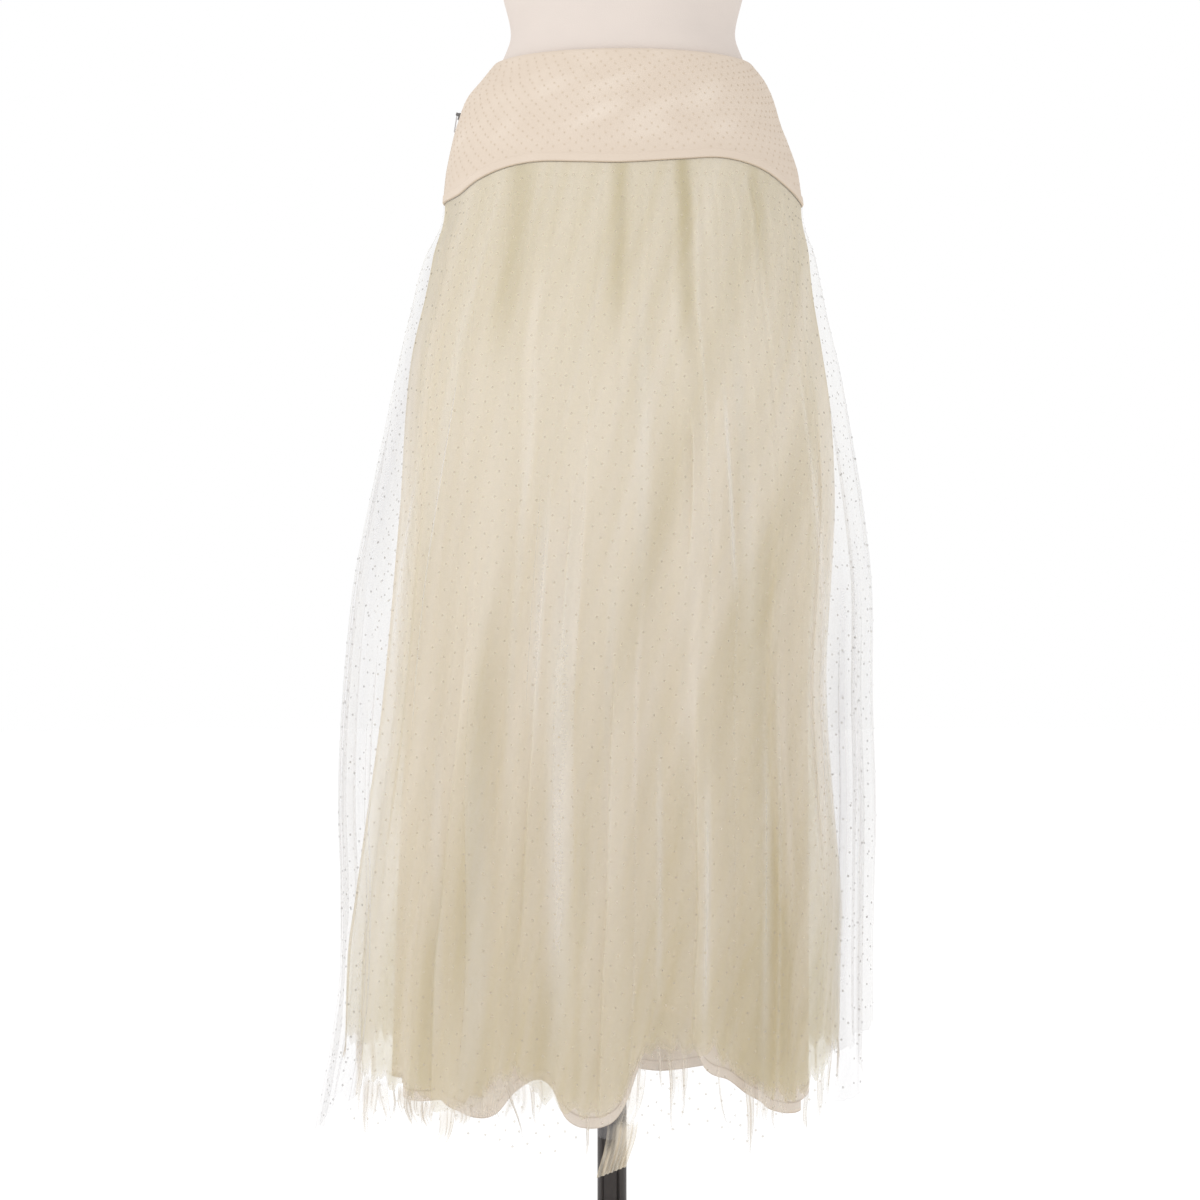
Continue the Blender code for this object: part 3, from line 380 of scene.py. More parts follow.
# Torn strips that hang from the inner tulle's raw edge: lean is in degrees from top to tip
SHREDS = table(Shred, [
    (196, 0.034, 0.018, -3, 0.50), (200, 0.048, 0.014, -6, 0.60),
    (203, 0.054, 0.020, -4, 0.60), (205, 0.030, 0.012, -2, 0.60),
    (208.5, 0.058, 0.016, -2, 0.65), (211.5, 0.040, 0.028, -3, 0.75),
    (215.5, 0.030, 0.022, 1, 0.65), (218.5, 0.024, 0.003, 0, 0.70),
    (222, 0.019, 0.024, 0, 0.95), (223, 0.028, 0.003, 1, 0.70),
    (227, 0.020, 0.026, 1, 0.90), (231.5, 0.018, 0.018, 0, 0.85),
    (231, 0.018, 0.005, 0, 0.65), (237, 0.030, 0.018, -2, 0.85),
    (239.5, 0.014, 0.020, 0, 0.95), (243.5, 0.015, 0.026, -1, 0.95),
    (247.5, 0.020, 0.018, 1, 0.80), (251, 0.050, 0.003, 5, 0.80),
    (253.5, 0.034, 0.040, 0, 0.50), (256.5, 0.034, 0.004, 3, 0.70),
    (269.5, 0.046, 0.003, -2, 0.85), (279.3, 0.056, 0.020, -2, 0.60),
    (281, 0.064, 0.003, -3, 0.85), (284.5, 0.040, 0.003, 3, 0.80),
    (286.6, 0.080, 0.003, 2.5, 0.90), (288.5, 0.052, 0.018, 1, 0.55),
    (290.4, 0.060, 0.003, -1.5, 0.85), (298.5, 0.062, 0.0025, 5, 0.60),
    (307.2, 0.070, 0.010, 1, 0.95), (310, 0.030, 0.008, 0, 0.75),
    (312.5, 0.026, 0.012, 0, 0.65), (315, 0.028, 0.004, 1, 0.75),
    (318, 0.018, 0.014, 0, 0.60), (329, 0.034, 0.010, 0, 0.65),
    (334.5, 0.038, 0.018, 0, 0.70), (345, 0.040, 0.018, 1, 0.65),
    (352, 0.034, 0.006, 0, 0.60),
])
BACK_SHREDS = 26
BACK_SHREDS_SPAN = (4, 178)  # where they start, and over how many degrees they hang
BACK_SHRED_LENGTHS = (0.008, 0.046)
BACK_SHRED_WIDTHS = [0.003, 0.003, 0.005, 0.009, 0.014, 0.022, 0.030]
# The bunch of net that hangs in front of the pole
BUNCH = Shred(274.75, 0.024, 0.0235, -1.2, 0.88)

# How such strips are torn: how far up behind the cloth they start, how blunt their tips are and how
# much blunter for each metre of width, how uneven the reach is across, the degrees they sway, the
# waves across, what share of their cover lies between their folds, how bare they are at the top of
# their left side, and whether their ends fray
Tear = namedtuple("Tear", "columns rows tuck blunt widening slant sway waves veil bare frayed")
TORN = Tear(
    columns=17, rows=14, tuck=0.012, blunt=0.05, widening=28, slant=0, sway=1.1, waves=1,
    veil=0.5, bare=0, frayed=True,
)
BUNCHED = Tear(
    columns=40, rows=24, tuck=0.026, blunt=0.94, widening=0, slant=-0.10, sway=0.35, waves=7,
    veil=0.64, bare=0.6, frayed=False,
)

# How fine the meshes are: columns of half the way round, and rows
YOKE_GRID = (150, 44)
OUTER_GRID = (420, 130)
INNER_GRID = (340, 100)
LINING_GRID = (220, 70)
ROWS_CROWD = 0.45  # how much closer the rows of a hanging cloth lie near its seam
TORSO_GRID = (150, 120)  # rows, and columns all the way round
SHARP = math.radians(50)  # an edge that turns more than this shows as an edge

DOT_RADIUS = 0.0012
DOT_COVER = 0.42
DOT_STEP = 0.0115  # from row to row
DOT_WANDER = 0.006  # how far a row wanders up and down, as a share of the length
DOT_TURN = 3.0  # degrees from dot to dot in a row of the hanging tulle
DOT_STRAY = (0.3, 0.0012)  # how far a single dot strays: degrees, and a share of the length
DOT_SHADE = 0.22  # painted shade of a dot away from the sides and the gathers: 0 pale, 1 dark
SIDE_DOTS = 0.45  # the share of the dots that shows at the sides, where the net lies folded
YOKE_DOT_RADIUS = 0.0008
YOKE_DOT_STEP = 0.0095
YOKE_DOT_ROW = 0.0058
YOKE_DOT_TILT = 0.0020  # how far a row climbs towards the right from dot to dot
DOT_STAND_OFF = 0.0004
DOT_SIDES = 6
DOT_PROBE = (0.05, 0.002)  # how far off its slope is felt: degrees, and a share of the length
DOT_FOOT = 0.16
DOT_MARGINS = (0.3, 0.4)  # degrees that rows and dots keep off the side seams
DOT_SHARES = (0.006, 0.992)
DOT_SHADE_GROWS = (0.03, 0.30)  # the shares of the length where a dot's painted shade starts and is full
DOT_WANDERS = [(5, 1.0, 0), (17, 0.7, 1), (31, 0.5, 0)]  # those waves: count, size, start

SHRED_TAPER = 0.9
SHRED_BLUNTEST = 0.94
SHRED_INSET = 0.001
SHRED_CRINKLE = 0.0012
SHRED_DRIFT = 0.004
# How fast the sway and the drift change from strip to strip, and the sway from top to tip
SWAY_CHANGE, DRIFT_CHANGE, SWAY_TURN = 2.7, 1.9, 4.5
SHRED_ROOM_FROM = 0.20  # the height below which the room inside a cloth stays the same
SHRED_STARTS = 0.3  # the share of its length over which a strip comes out of the cloth
SHRED_ENDS = (0.35, 0.20)  # how unevenly it ends, and over what share it fades there
SHRED_LEAST_LINE = 0.13  # of its half width
# Where a strip lies bare: across to its left, and down
BARE_ACROSS = (0.15, 0.65)
BARE_DOWN = (0.35, 0.75)
SHRED_SHADE = (0.10, 0.60)  # painted shade between a strip's folds, and on them
SHRED_LINE = 0.0013  # half the width of such a fold
SHRED_FOLD_STEP = 0.007  # of a strip's width to a fold


def between(rows, at):
    """The values of a table at heights or angles, on smooth curves through its rows."""
    rows = np.array(sorted(rows))
    at = np.clip(np.asarray(at, dtype=float), rows[0, 0], rows[-1, 0])
    i = np.clip(np.searchsorted(rows[:, 0], at, side="right") - 1, 0, len(rows) - 2)
    low, high = rows[i], rows[i + 1]
    before, after = rows[np.maximum(i - 1, 0)], rows[np.minimum(i + 2, len(rows) - 1)]
    step = high[..., :1] - low[..., :1]
    t = (at[..., None] - low[..., :1]) / step
    slope_low = (high - before) / (high[..., :1] - before[..., :1]) * step
    slope_high = (after - low) / (after[..., :1] - low[..., :1]) * step
    values = (
        low * (2 * t**3 - 3 * t**2 + 1)
        + slope_low * (t**3 - 2 * t**2 + t)
        + high * (3 * t**2 - 2 * t**3)
        + slope_high * (t**3 - t**2)
    )
    return [values[..., k] for k in range(1, rows.shape[1])]


def ramp(x, start, full):
    """0 up to a start, 1 from where it is full, and a smooth rise in between."""
    t = np.clip((x - start) / (full - start), 0.0, 1.0)
    return t * t * (3 - 2 * t)


def hump(away):
    """1 in the middle, falling smoothly to 0 at one width away."""
    return (1 + np.cos(np.pi * np.minimum(away, 1))) / 2


def swell(share, start, end, edge):
    """1 between a start and an end, rising and falling over a share of the way at each."""
    middle = (share - start) / (end - start)
    return ramp(middle, 0, edge) * ramp(1 - middle, 0, edge)


def section_point(outline, height, angle):
    """Points of an outline and its outward normals, both horizontal, at angles round the form."""
    left, right, front, back = between(outline, height)
    turn = np.radians(angle)
    cos, sin = np.cos(turn), np.sin(turn)
    wide = (right + left) / 2
    deep = np.where(sin > 0, back, front)
    across, along = cos / wide, sin / deep
    length = np.hypot(across, along)
    return (right - left) / 2 + wide * cos, deep * sin, across / length, along / length


def lift(place, height, out):
    """Points at a height over a place of an outline, moved outwards along its normals."""
    x, y, nx, ny = place
    return np.stack([x + out * nx, y + out * ny, height], axis=-1)


def outward(points):
    """The level way out from the form's axis at each point."""
    return points[..., :2] / np.hypot(points[..., 0], points[..., 1])[..., None]


def edge_height(edge, angle):
    """Heights of an edge at angles, the table running on round the form."""
    around = [Edge(e.angle + turn, e.height) for turn in (-360, 0, 360) for e in edge]
    return between(around, np.asarray(angle) % 360)[0]


def seam_height(angle):
    return edge_height(SEAM, angle)


def waves(grain, share, size, length, seed):
    """Smooth random waves from -1 to 1, of a size in degrees across and a length down a cloth."""
    cells = int(round(360 / size))
    levels = int(math.ceil(1.3 / length)) + 2
    lattice = np.random.default_rng(seed).uniform(-1, 1, (cells, levels))
    u = (grain % 360) / 360 * cells
    v = np.clip(share, 0, 1.2) / length
    i, j = np.floor(u).astype(int), np.floor(v).astype(int)
    fu, fv = ramp(u - i, 0, 1), ramp(v - j, 0, 1)
    i0, i1 = i % cells, (i + 1) % cells
    near = lattice[i0, j] * (1 - fu) + lattice[i1, j] * fu
    far = lattice[i0, j + 1] * (1 - fu) + lattice[i1, j + 1] * fu
    return near * (1 - fv) + far * fv


def raggedness(grain, cuts):
    """How far a raw edge lies above its line: spiky cuts of a few sizes."""
    up = np.zeros_like(grain, dtype=float)
    for size, depth, seed in cuts:
        cells = int(round(360 / size))
        lattice = np.random.default_rng(seed).uniform(0, 1, cells) ** 3
        u = (grain % 360) / 360 * cells
        i = np.floor(u).astype(int)
        up += depth * (lattice[i % cells] * (1 - (u - i)) + lattice[(i + 1) % cells] * (u - i))
    return up


def off_centre(angle, centre):
    """Degrees from a centre, between -180 and 180."""
    return (angle - centre + 180) % 360 - 180


def fold_depth(folds, angle, share):
    """How far the large folds push the cloth in."""
    depth = np.zeros_like(angle)
    for fold in folds:
        away = np.abs(off_centre(angle, fold.angle)) / fold.width
        depth += fold.depth * ramp(share, fold.start, FOLD_FULL) * hump(away)
    return depth


def lapped(laps, grain, share):
    """Degrees sideways and metres inwards by which laid-over creases move the cloth."""
    aside, push = np.zeros_like(grain), np.zeros_like(grain)
    for lap in laps:
        t = np.clip(off_centre(grain, lap.angle) / lap.width, -1, 1)
        grown = swell(share, lap.start, lap.end, LAP_EDGE)
        swing = np.sin(np.pi * t)
        aside -= grown * lap.lap * lap.width * swing
        push -= grown * lap.depth * swing
    return aside, push


def band_tone(bands, grain, share):
    """What a table's soft bands add in each place."""
    tone = np.zeros_like(grain)
    for band in bands:
        away = np.abs(off_centre(grain, band.angle)) / band.width
        tone += band.tone * swell(share, band.start, band.end, BAND_EDGE) * hump(away)
    return tone


def gather_depth(grain, drop):
    """How far the gathers push the cloth in, uneven from one to the next."""
    column = grain / 360 * GATHERS
    warped = column + sum(size * np.sin(column * rate) for rate, size in GATHER_STRAYS)
    uneven = 1 - GATHER_UNEVEN + GATHER_UNEVEN * np.sin(np.round(warped) * GATHER_CHANGE)
    trough = (1 + np.cos(2 * np.pi * warped)) / 2
    opened = ramp(drop, GATHER_DROP, GATHER_OPEN)
    depth = GATHER_DEPTH * (GATHER_SOFT + (GATHER_LEFT - GATHER_SOFT) * opened)
    return depth * uneven * trough * ramp(drop, 0, GATHER_DROP)


def smooth_place(cloth, height, angle):
    """Where a hanging cloth's crests are: it leaves the yoke's line just below the seam."""
    seam = seam_height(angle)
    flare = ramp(seam - height, 0, FLARE_DROP)
    yoke_x, yoke_y, nx, ny = section_point(YOKE_OUTLINE, seam, angle)
    x, y, _, _ = section_point(cloth.outline, height, angle)
    inset = cloth.layer * LAYER_STEP
    x = (1 - flare) * (yoke_x - inset * nx) + flare * x
    y = (1 - flare) * (yoke_y - inset * ny) + flare * y
    return x, y, nx, ny


def fold_room(cloth, height, angle):
    """How far in a large fold may go before it nears the cloth inside this one."""
    if cloth.inside is None:
        return np.full_like(height, 1.0)
    x, y, nx, ny = smooth_place(cloth, height, angle)
    x_in, y_in, _, _ = smooth_place(cloth.inside, height, angle)
    apart = (x - x_in) * nx + (y - y_in) * ny - LAYER_STEP
    spare = 0 if cloth.inside.gathered else GATHER_DEPTH
    return np.maximum(0, FOLD_ROOM * (apart - spare))


def hang(cloth, grain, share):
    """Points of a hanging cloth, and how far in each lies, by grain angle and share of length."""
    grain, share = np.broadcast_arrays(np.asarray(grain, float), np.asarray(share, float))
    turn = 4 * np.pi * grain / 360
    angle = grain + share * sum(size * np.sin(count * turn) for count, size in STRAYS)
    aside, lap_push = lapped(cloth.laps, grain, share)
    angle = angle + aside
    top = seam_height(angle) - SEAM_GAP
    hem = edge_height(cloth.hem, angle) + raggedness(grain, cloth.rag)
    height = top - share * (top - hem)
    place = smooth_place(cloth, height, angle)
    room = fold_room(cloth, height, angle)
    big = np.minimum(fold_depth(cloth.folds, angle, share), room)
    small = lap_push + sum(
        deep * (1 + waves(grain, share, size, long, seed)) / 2
        for size, long, deep, seed in cloth.waves
    )
    if cloth.inside:
        small = np.minimum(small, np.maximum(room - big, LEAST_ROOM))
    drop = top - height
    push = big + small * ramp(drop, LOOSE_FROM, LOOSE_FULL)
    if cloth.gathered:
        push = push + gather_depth(grain, drop)
    return lift(place, height, -push), push


def off_side_seams(points, start):
    """Keeps a panel's end columns half a gap off the side seams' plane."""
    side = 1 if start < 90 else -1
    points[:, 0, 1] = side * SEAM_GAP / 2
    points[:, -1, 1] = side * SEAM_GAP / 2
    return points


def row_shares(rows):
    """Shares of the length from seam to hem, closer together near the seam."""
    t = np.linspace(0, 1, rows + 1)
    return ROWS_CROWD * t**2 + (1 - ROWS_CROWD) * t


def across_scale(grains):
    """Metres along the hip seam at each grain angle."""
    x, y, _, _ = section_point(YOKE_OUTLINE, seam_height(grains), grains)
    steps = np.hypot(np.diff(x), np.diff(y))
    return np.concatenate([[0], np.cumsum(steps)])


def quads(rows, columns, closed=False):
    """The faces of a grid of points, which may close on itself across."""
    index = np.arange(rows * columns).reshape(rows, columns)
    after = np.roll(index, -1, axis=1)
    if not closed:
        index, after = index[:, :-1], after[:, :-1]
    return np.stack([index[:-1], index[1:], after[1:], after[:-1]], axis=-1).reshape(-1, 4)


def new_mesh(name, points, faces):
    mesh = bpy.data.meshes.new(name)
    mesh.from_pydata(np.asarray(points).reshape(-1, 3).tolist(), [], faces)
    return mesh


def link(data):
    """An object in the scene of a mesh, a light or a camera, with its name."""
    made = bpy.data.objects.new(data.name, data)
    bpy.context.scene.collection.objects.link(made)
    return made


def mark(mesh, name, values, kind="FLOAT", key="value"):
    """Keeps at each point what the finish needs there."""
    made = mesh.attributes.new(name, kind, "POINT")
    made.data.foreach_set(key, np.ascontiguousarray(values, dtype=np.float32).ravel())


def add_cloth(name, points, faces, place, marks):
    """A smooth sheet with its place in the cloth and other marks at each point."""
    mesh = new_mesh(name, points, faces.tolist())
    mesh.shade_smooth()
    mark(mesh, "cloth", place, "FLOAT_VECTOR", "vector")
    for key, values in marks.items():
        mark(mesh, key, values)
    return link(mesh)


def round_edges(piece, width):
    bevel = piece.modifiers.new("rounding", "BEVEL")
    bevel.width = width
    bevel.segments = 2
    bevel.limit_method = "ANGLE"
    return piece


def steepness(points):
    """How steeply each point of a grid leans to the way out from the form: 0 flat, 1 edge on."""
    across = np.gradient(points[..., :2], axis=1)
    length = np.maximum(np.hypot(across[..., 0], across[..., 1]), 1e-9)
    return np.abs((across * outward(points)).sum(axis=-1)) / length


def sideness(grain):
    """1 at the sides, 0 in front and behind."""
    return ramp(np.abs(np.cos(np.radians(grain))), SIDE_START, SIDE_FULL)


def net_cover(cloth, grain, share, points):
    """The share of light that a net stops, more where it lies edge on."""
    steep = steepness(points) ** 2
    if cloth is OUTER:
        doubled = DOUBLED_COVER * band_tone(DOUBLED, grain, share)
        return OUTER_COVER + OUTER_EDGE_COVER * steep + doubled + band_tone(VEILS, grain, share)
    cover = INNER_TOP_COVER + (INNER_LOW_COVER - INNER_TOP_COVER) * ramp(share, *INNER_THINS)
    cover = cover + INNER_EDGE_COVER * steep + band_tone(THIN_NET, grain, share)
    return cover * (FRAY_COVER + (1 - FRAY_COVER) * ramp(1 - share, 0, FRAY_SHARE))


def hem_marks(above):
    """1 along a narrow hem's lower fold, where its shade is painted, and along its stitch line, and
    1 over its whole band.
    """
    fold = 1 - ramp(above, 0, HEM_FOLD)
    stitches = 1 - ramp(np.abs(above - HEM_BAND), 0, HEM_STITCH)
    band = 1 - ramp(above, HEM_BAND, HEM_BAND + HEM_FADE)
    return np.maximum(fold, stitches), band


def add_hanging(name, cloth, start, grid):
    """One panel of a hanging cloth."""
    columns, rows = grid
    grains = start + 180 * np.linspace(0, 1, columns + 1)
    length = seam_height(270) - edge_height(cloth.hem, 270)
    low_rows = [] if cloth.gathered else [1 - above / length for above in HEM_ROWS]
    shares = np.array(sorted([*row_shares(rows), *low_rows]))
    grain, share = np.meshgrid(grains, shares)
    points, push = hang(cloth, grain, share)
    line, band = hem_marks((1 - share) * length)
    if not cloth.gathered:
        points[..., :2] += HEM_RISE * band[..., None] * outward(points)
    points = off_side_seams(points, start)
    across = np.broadcast_to(across_scale(grains), grain.shape)
    down = points[..., 2].max() - points[..., 2]
    place = np.stack([across * (1 + share), down, np.full_like(down, cloth.layer)], axis=-1)
    # painted shade: the deeper a cloth is pushed in, the darker, and the outer net greyer where it
    # lies doubled; the inner cloths' bands add their thickness, with painted light and shade
    tone = push / FOLD_SHADE_DEPTH
    if cloth is OUTER:
        tone = tone + DOUBLED_SHADE * band_tone(DOUBLED, grain, share)
    else:
        tone = tone + BAND_TONE * band_tone(THICK_AND_SHADED_BANDS, grain, share)
    if cloth.gathered:
        # painted shade low down on the nets
        tone = tone + DOWN_SHADE * share**DOWN_POWER + TOP_TONE * (1 - ramp(share, 0, TOP_SHARE))
        marks = {"fold": tone, "cover": net_cover(cloth, grain, share, points)}
    else:
        marks = {"fold": tone, "line": line, "band": band}
    return add_cloth(name, points, quads(*grain.shape), place, marks)


def shred_strip(shred, cloth, tear):
    """Points of one torn strip below a cloth's edge, and where they lie across and down it."""
    u = np.linspace(-1, 1, tear.columns)[None, :]
    t = np.linspace(0, 1, tear.rows)[:, None]
    turn = 4 * np.pi * shred.angle / 360
    top = edge_height(cloth.hem, shred.angle) + tear.tuck
    height = top - (shred.length + tear.tuck) * (1 + tear.slant * u) * t
    x, y, _, _ = section_point(cloth.outline, top, shred.angle)
    around = math.degrees(1 / math.hypot(float(x), float(y)))
    blunt = min(tear.blunt + tear.widening * shred.width, SHRED_BLUNTEST)
    taper = 1 - (1 - blunt) * t**SHRED_TAPER
    sway = tear.sway * t * np.sin(shred.angle * SWAY_CHANGE + SWAY_TURN * t)
    angle = shred.angle + shred.lean * t**1.5 + sway
    angle = angle + u * shred.width / 2 * around * taper
    folded = fold_depth(cloth.folds, np.full_like(height, shred.angle), np.ones_like(height))
    room = fold_room(cloth, np.maximum(height, SHRED_ROOM_FROM), angle)
    inset = np.minimum(folded, room) + SHRED_INSET
    crinkle = SHRED_CRINKLE * np.sin(math.pi * tear.waves * u + turn) * (0.3 + t)
    drift = SHRED_DRIFT * t * math.sin(shred.angle * DRIFT_CHANGE)
    push = inset + crinkle + drift
    return lift(section_point(cloth.outline, height, angle), height, -push), u, t


def strip_folds(shred, u):
    """1 along a strip's edges and its few folds, 0 between them."""
    chance = np.random.default_rng(int(shred.angle * 10))
    inside = chance.uniform(-0.8, 0.8, int(shred.width / SHRED_FOLD_STEP))
    wide = max(2 * SHRED_LINE / shred.width, SHRED_LEAST_LINE)
    away = np.min([np.abs(u - place) for place in (-1, 1, *inside)], axis=0)
    return 1 - ramp(away, 0, wide)


def strip_cover(shred, u, t, tear):
    """How much a strip covers in each place: it starts faint, and a torn one frays out."""
    chance = np.random.default_rng(int(shred.angle * 10) + 1)
    veil = tear.veil + (1 - tear.veil) * strip_folds(shred, u)
    cover = shred.cover * veil * ramp(t, 0, SHRED_STARTS)
    cover = cover * (1 - tear.bare * ramp(-u, *BARE_ACROSS) * (1 - ramp(t, *BARE_DOWN)))
    if tear.frayed:
        uneven, fading = SHRED_ENDS
        ends = 1 - uneven * chance.uniform(0, 1, u.shape)
        cover = cover * ramp(ends - t, 0, fading)
    return cover


def add_shreds(name, shreds, cloth, tear):
    """Torn strips of a net as one mesh."""
    between_folds, on_folds = SHRED_SHADE
    strips, faces, covers, tones = [], [], [], []
    for number, shred in enumerate(shreds):
        points, u, t = shred_strip(shred, cloth, tear)
        # painted shade, deepest along a strip's edges and folds
        tone = between_folds + (on_folds - between_folds) * strip_folds(shred, u) * np.ones_like(t)
        strips.append(points.reshape(-1, 3))
        faces.append(quads(tear.rows, tear.columns) + number * tone.size)
        covers.append(strip_cover(shred, u, t, tear).ravel())
        tones.append(tone.ravel())
    points = np.concatenate(strips)
    marks = {"cover": np.concatenate(covers), "fold": np.concatenate(tones)}
    return add_cloth(name, points, np.concatenate(faces), points[:, [0, 2, 1]], marks)


def back_shreds():
    """Strips for the sides and back, as uneven as those in front."""
    chance = np.random.default_rng(71)
    first, span = BACK_SHREDS_SPAN
    shortest, longest = BACK_SHRED_LENGTHS
    made = []
    for number in range(BACK_SHREDS):
        angle = first + span * (number + chance.uniform(0.1, 0.9)) / BACK_SHREDS
        length = shortest + (longest - shortest) * chance.uniform() ** 1.5
        width = chance.choice(BACK_SHRED_WIDTHS)
        cover = 0.85 - 9 * width  # a wide strip is a thin one
        made.append(Shred(angle, length, width, chance.uniform(-3, 3), cover))
    return made


def surface_discs(name, place, grain, share, radius, tone):
    """Flat dots on a surface: place gives its points by grain and share."""
    aside, down = DOT_PROBE
    p = place(grain, share)
    t = place(grain + aside, share) - place(grain - aside, share)
    d = place(grain, np.minimum(share + down, 1)) - place(grain, share - down)
    normal = np.cross(d, t)
    out = p * np.array([1, 1, 0])
    normal *= np.sign((normal * out).sum(axis=-1, keepdims=True))
    normal /= np.linalg.norm(normal, axis=-1, keepdims=True)
    t -= (t * normal).sum(axis=-1, keepdims=True) * normal
    t /= np.linalg.norm(t, axis=-1, keepdims=True)
    d = np.cross(normal, t)
    turns = np.arange(DOT_SIDES) * 2 * np.pi / DOT_SIDES
    ring = radius * (np.cos(turns)[:, None, None] * t + np.sin(turns)[:, None, None] * d)
    points = (p + normal * DOT_STAND_OFF + ring).transpose(1, 0, 2)
    faces = np.arange(len(p) * DOT_SIDES).reshape(-1, DOT_SIDES)
    mesh = new_mesh(name, points, faces.tolist())
    # each dot's painted shade, read by the hanging tulle's dot finish
    mark(mesh, "fold", np.repeat(tone, DOT_SIDES))
    return link(mesh)


def add_tulle_dots(name, start):
    """Rows of dots on the outer tulle, every other row half a step along."""
    chance = np.random.default_rng(start + 5)
    rows = int((SEAM_HEIGHT - DOT_FOOT) / DOT_STEP)
    row_margin, dot_margin = DOT_MARGINS
    grains, shares = [], []
    for row in range(1, rows):
        share = row / rows
        shift = DOT_TURN / 2 if row % 2 else 0
        line = np.arange(start + DOT_TURN / 3 + shift, start + 180 - row_margin, DOT_TURN)
        turn = np.radians(line)
        wander = sum(size * np.sin(count * turn + first) for count, size, first in DOT_WANDERS)
        grains.append(line)
        shares.append(share + DOT_WANDER * wander * (0.3 + 0.7 * math.sin(math.pi * share)))
    grains, shares = np.concatenate(grains), np.concatenate(shares)
    count = len(grains)
    stray_turn, stray_share = DOT_STRAY
    grains = grains + chance.uniform(-stray_turn, stray_turn, count)
    grains = np.clip(grains, start + dot_margin, start + 180 - dot_margin)
    shares = np.clip(shares + chance.uniform(-stray_share, stray_share, count), *DOT_SHARES)
    shown = chance.uniform(0, 1, count) > (1 - SIDE_DOTS) * sideness(grains)
    grains, shares = grains[shown], shares[shown]
    # painted shade: a dot darker low down and darkest at the sides
    tone = DOT_SHADE * ramp(shares, *DOT_SHADE_GROWS) + (1 - DOT_SHADE) * sideness(grains)
    return surface_discs(
        name, lambda g, s: hang(OUTER, g, s)[0], grains, shares, DOT_RADIUS, tone
    )


# The yoke: a smooth band with a turned top edge and a seam allowance pressed up inside
ALLOWANCE = 0.0075
YOKE_RADIUS = 0.140
CREASE_HIGHLIGHT = 0.0011  # a crease that stands out this far gets the full painted highlight
ALLOWANCE_RISE = 0.0010
ALLOWANCE_EDGES = (0.0015, 0.0020)  # how softly it rises at its foot and ends at its top
EDGE_TURN = 0.0024
EDGE_DEPTH = 0.006
EDGE_ROLL = ((1.0, 0.7, 0.35), 0.0004)  # the turned rows, as shares of the turn, and their rise
YOKE_WAVES = (0.0003, 9, 0.5, 61)  # metres out, degrees across, share down, seed
YOKE_HELD = 0.012  # how far from its edges the yoke is held flat
SEAM_TUCK = 0.0012
LOW_SHARE, LOW_ROWS = 0.9, 14  # the yoke's lowest part has rows of its own for the allowance
YOKE_DOT_MARGINS = (0.002, 0.010)  # what dots keep off its edges, at the top and at the seam


def creasing(angle, height):
    """How far the yoke's diagonal creases stand out."""
    rise = np.zeros_like(height)
    for crease in YOKE_CREASES:
        side = np.radians(off_centre(angle, crease.angle)) * YOKE_RADIUS
        up = height - crease.height
        tilt = math.radians(crease.tilt)
        along = np.abs(side * math.cos(tilt) + up * math.sin(tilt)) / crease.length * 2
        across = np.abs(up * math.cos(tilt) - side * math.sin(tilt)) / crease.width
        rise += crease.rise * hump(along) * hump(across)
    return rise


def yoke_place(angle, share):
    """Points of the yoke's outer face, from its top edge down to its seam."""
    angle, share = np.broadcast_arrays(np.asarray(angle, float), np.asarray(share, float))
    seam = seam_height(angle)
    height = YOKE_TOP - share * (YOKE_TOP - seam)
    above = height - seam
    foot, top = ALLOWANCE_EDGES
    ridge = ramp(above, 0, foot) - ramp(above, ALLOWANCE, ALLOWANCE + top)
    size, *wave = YOKE_WAVES
    soft = size * waves(angle, share, *wave) + creasing(angle, height)
    loose = ramp(above, ALLOWANCE, ALLOWANCE + YOKE_HELD) * ramp(YOKE_TOP - height, 0, YOKE_HELD)
    tuck = SEAM_TUCK * (1 - ramp(above, 0, SEAM_TUCK))
    out = ALLOWANCE_RISE * ridge + soft * loose - tuck
    return lift(section_point(YOKE_OUTLINE, height, angle), height, out)


def add_yoke(name, start):
    """One panel of the yoke, with its edges turned in."""
    columns, rows = YOKE_GRID
    angles = start + 180 * np.linspace(0, 1, columns + 1)
    shares = np.concatenate([
        np.linspace(0, LOW_SHARE, rows - LOW_ROWS, endpoint=False),
        np.linspace(LOW_SHARE, 1, LOW_ROWS + 1),
    ])
    angle, share = np.meshgrid(angles, shares)
    face = yoke_place(angle, share)
    _, _, nx, ny = section_point(YOKE_OUTLINE, face[0, :, 2], angles)
    parts, rise = EDGE_ROLL
    x, y, top = face[0].T
    turned = [
        lift((x, y, nx, ny), top + rise * math.sin(math.pi * part), -EDGE_TURN * part)
        for part in parts
    ]
    foot = turned[0][:, 2] - EDGE_DEPTH
    inner_edge = lift(section_point(YOKE_OUTLINE, foot, angles), foot, -EDGE_TURN)
    points = np.concatenate([np.array([inner_edge, *turned]), face])
    points = off_side_seams(points, start)
    grain = np.broadcast_to(across_scale(angles), points.shape[:2])
    place = np.stack([grain, YOKE_TOP - points[..., 2], np.full(grain.shape, 3.0)], axis=-1)
    seam = seam_height(np.broadcast_to(angles, grain.shape))
    # painted shade in the tuck at the seam, over its seam line, and a painted highlight along the
    # creases
    near_seam = 1 - ramp(points[..., 2] - seam, 0, SEAM_TUCK)
    raised = creasing(np.broadcast_to(angles, grain.shape), points[..., 2]) / CREASE_HIGHLIGHT
    marks = {"fold": near_seam, "raised": raised}
    return add_cloth(name, points, quads(*grain.shape), place, marks)


